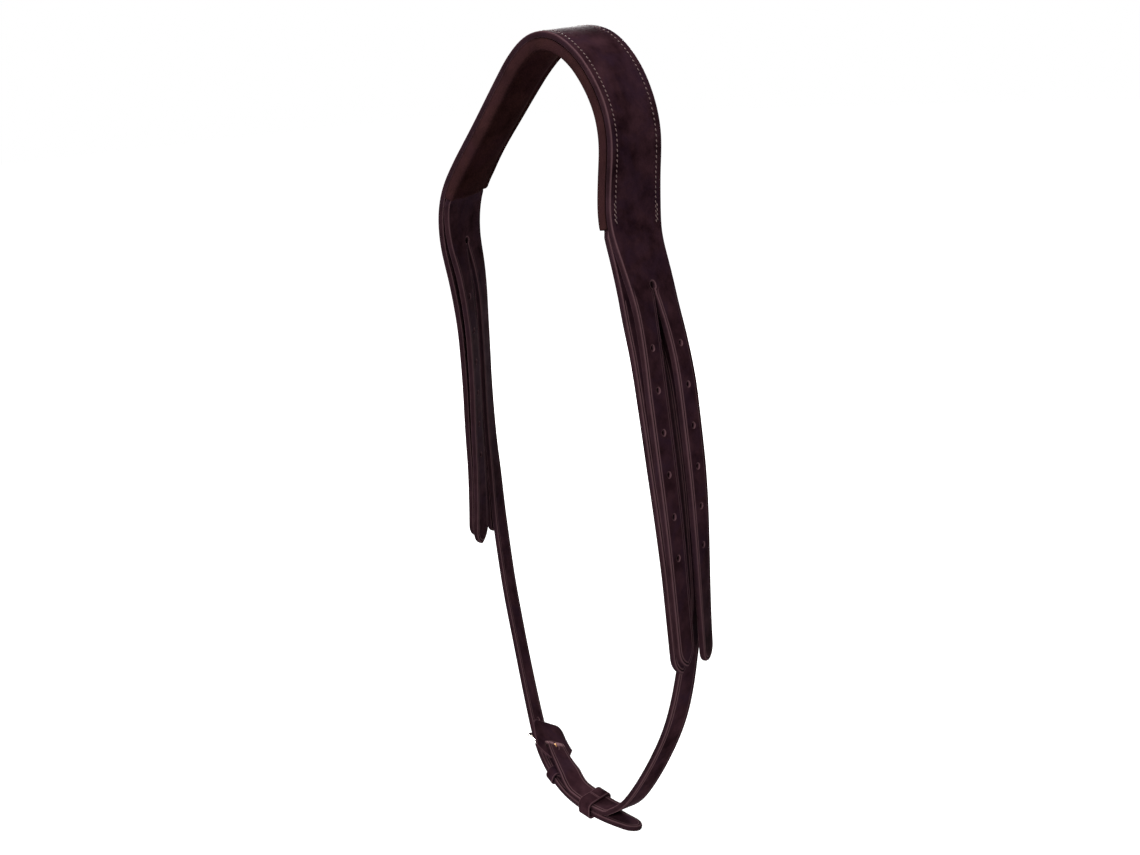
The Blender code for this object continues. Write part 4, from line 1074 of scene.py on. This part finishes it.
def makeBuckle():
    route, bar, length = routes["long"], buckleAt, buckle["frameLength"]
    front = halfThick + gap + buckle["frameRadius"]
    half = billetHalf + buckle["sidePlay"] + throat["barRadius"]
    points, radii = [], []
    for ahead, across in roundedRectangle(0.0, length, -half, half, buckle["corner"], steps=10):
        rise = float(eased(ahead / length))
        points.append(route.place(bar - ahead, across, barLevel + (front - barLevel) * rise))
        radii.append(throat["barRadius"] + (buckle["frameRadius"] - throat["barRadius"]) * rise)
    roundBar("buckleFrameSteel", points, radii, True, "steel", "buckle_frame")
    eye, steps = buckle["eyeRadius"], buckle["eyeSteps"]
    rest = front + buckle["frameRadius"] + gap + buckle["tongueRadius"]
    # Three quarters round the bar, then out over the frame
    turns = [math.radians(-270 + 270 * i / steps) for i in range(steps + 1)]
    path = [(eye * math.cos(turn), barLevel + eye * math.sin(turn)) for turn in turns]
    path += [(eye + (length - eye) * along, barLevel + (rest - barLevel) * rise)
             for along, rise in buckle["rise"]]
    points = [route.place(bar - ahead, 0.0, level) for ahead, level in path]
    radii = [buckle["tongueRadius"]] * (len(points) - 1) + [buckle["tongueRadius"] * buckle["tongueTip"]]
    roundBar("buckleTongueBrass", points, radii, False, "brass", "buckle_tongue")


makeBuckle()
print("buckle made")

# Guard behind the buckle, and the two keepers
safe = {"halfWidth": 0.0145, "above": 0.019, "below": 0.010, "corner": 0.005, "wideShare": 0.10}
keepers = {
    "fixed": {"place": 0.0178, "width": 0.007, "thick": 0.0013, "side": 0.00035, "under": 0.00035,
              "over": 0.00035},
    "runner": {"place": 0.0505, "width": 0.0085, "thick": 0.0014, "side": 0.0006, "under": 0.0010,
               "over": 0.0005},
    "corner": 1.9,  # radius, as a share of the thickness
    "butt": 0.00005,
    "points": 181,
}
# Edge rings for the thin guard and keepers: the pale column is a painted edge highlight, the crease a painted
# shade
thinRings = (
    (0.0, 0.00090, 0.0, 0.1),
    (0.00015, 0.00040, 0.0, 0.3),
    (0.00040, 0.00010, 0.0, 0.6),
    (0.00075, 0.0, 0.0, 0.0),
    (0.00100, 0.0, 0.00002, 0.0),
    (0.00118, 0.0, 0.00016, 0.0),
    (0.00136, 0.0, 0.00002, 0.0),
)


def makeSafe():
    bar, thick, wide = buckleAt, throat["safeThick"], safe["halfWidth"]
    top, wideEnd, end = bar - safe["above"], bar + safe["below"] * safe["wideShare"], bar + safe["below"]
    corners = roundedRectangle(top, wideEnd, -wide, wide, safe["corner"])
    count = len(corners) // 4
    outline = corners[count:3 * count] + [(wideEnd, -wide), (end, -billetHalf), (end, billetHalf)]
    outline.append((wideEnd, wide))
    first = bar - turnRadius - throat["turnThick"] / 2 - gap
    last = bar + throat["barRadius"] + buckle["tonguePlay"] + 2 * buckle["tongueRadius"] + gap
    slot = ((first + last) / 2, 0.0, last - first, 2 * (billetHalf + gap))
    bm = flatLeather(outline, [slot], thinRings, lines(top, end, cutEvery["guard"]))
    bendPart(bm, routes["long"], 0.0, thick, -math.inf, level=safeTop - thick / 2)
    finishPiece("buckleSafeLeather", bm, ["buckle_safe"])


def makeKeeper(name, look, low, body, node):
    # A strip bent round the straps, its ends butted on the cheek side
    route, place, thick = routes["long"], buckleAt + look["place"], look["thick"]
    across = billetHalf + look["side"] + thick / 2
    high = halfThick + look["over"] + thick / 2
    low = low - look["under"] - thick / 2
    path = roundedRectangle(-across, across, low, high, thick * keepers["corner"])
    quarter = len(path) // 4
    path = np.array([(0.0, low)] + path[3 * quarter:] + path[:3 * quarter] + [(0.0, low)])
    travelled = np.concatenate([[0], np.cumsum(np.linalg.norm(np.diff(path, axis=0), axis=1))])
    total = travelled[-1]
    fine = np.linspace(0, total, keepers["points"])
    x, y = (np.interp(fine, travelled, column) for column in path.T)
    points = route.place(place + 0 * x, x, y)
    run = unit(np.gradient(points, axis=0))
    strip = np.broadcast_to(unit(route.read("run", place)), points.shape)
    away = unit(np.cross(run, strip))
    middle = route.place(place, 0.0, (low + high) / 2)
    if ((points - middle) * away).sum() < 0:
        away = -away
    half, start, end = look["width"] / 2, keepers["butt"], total - keepers["butt"]
    outline = [(start, -half), (end, -half), (end, half), (start, half)]
    bm = flatLeather(outline, [], thinRings, lines(0, total, cutEvery["keeper"]))
    bendPart(bm, Route(fine, points, run, strip, away), 0.0, thick, -math.inf)
    finishPiece(name, bm, [node], body=body)


makeSafe()
makeKeeper("fixedKeeperLeather", keepers["fixed"], turnInside, "headpiece", "fixed_keeper")
makeKeeper("runnerKeeperLeather", keepers["runner"], turnOuter - strap["thick"], "runner", "runner_keeper")
print("guard and keepers made")
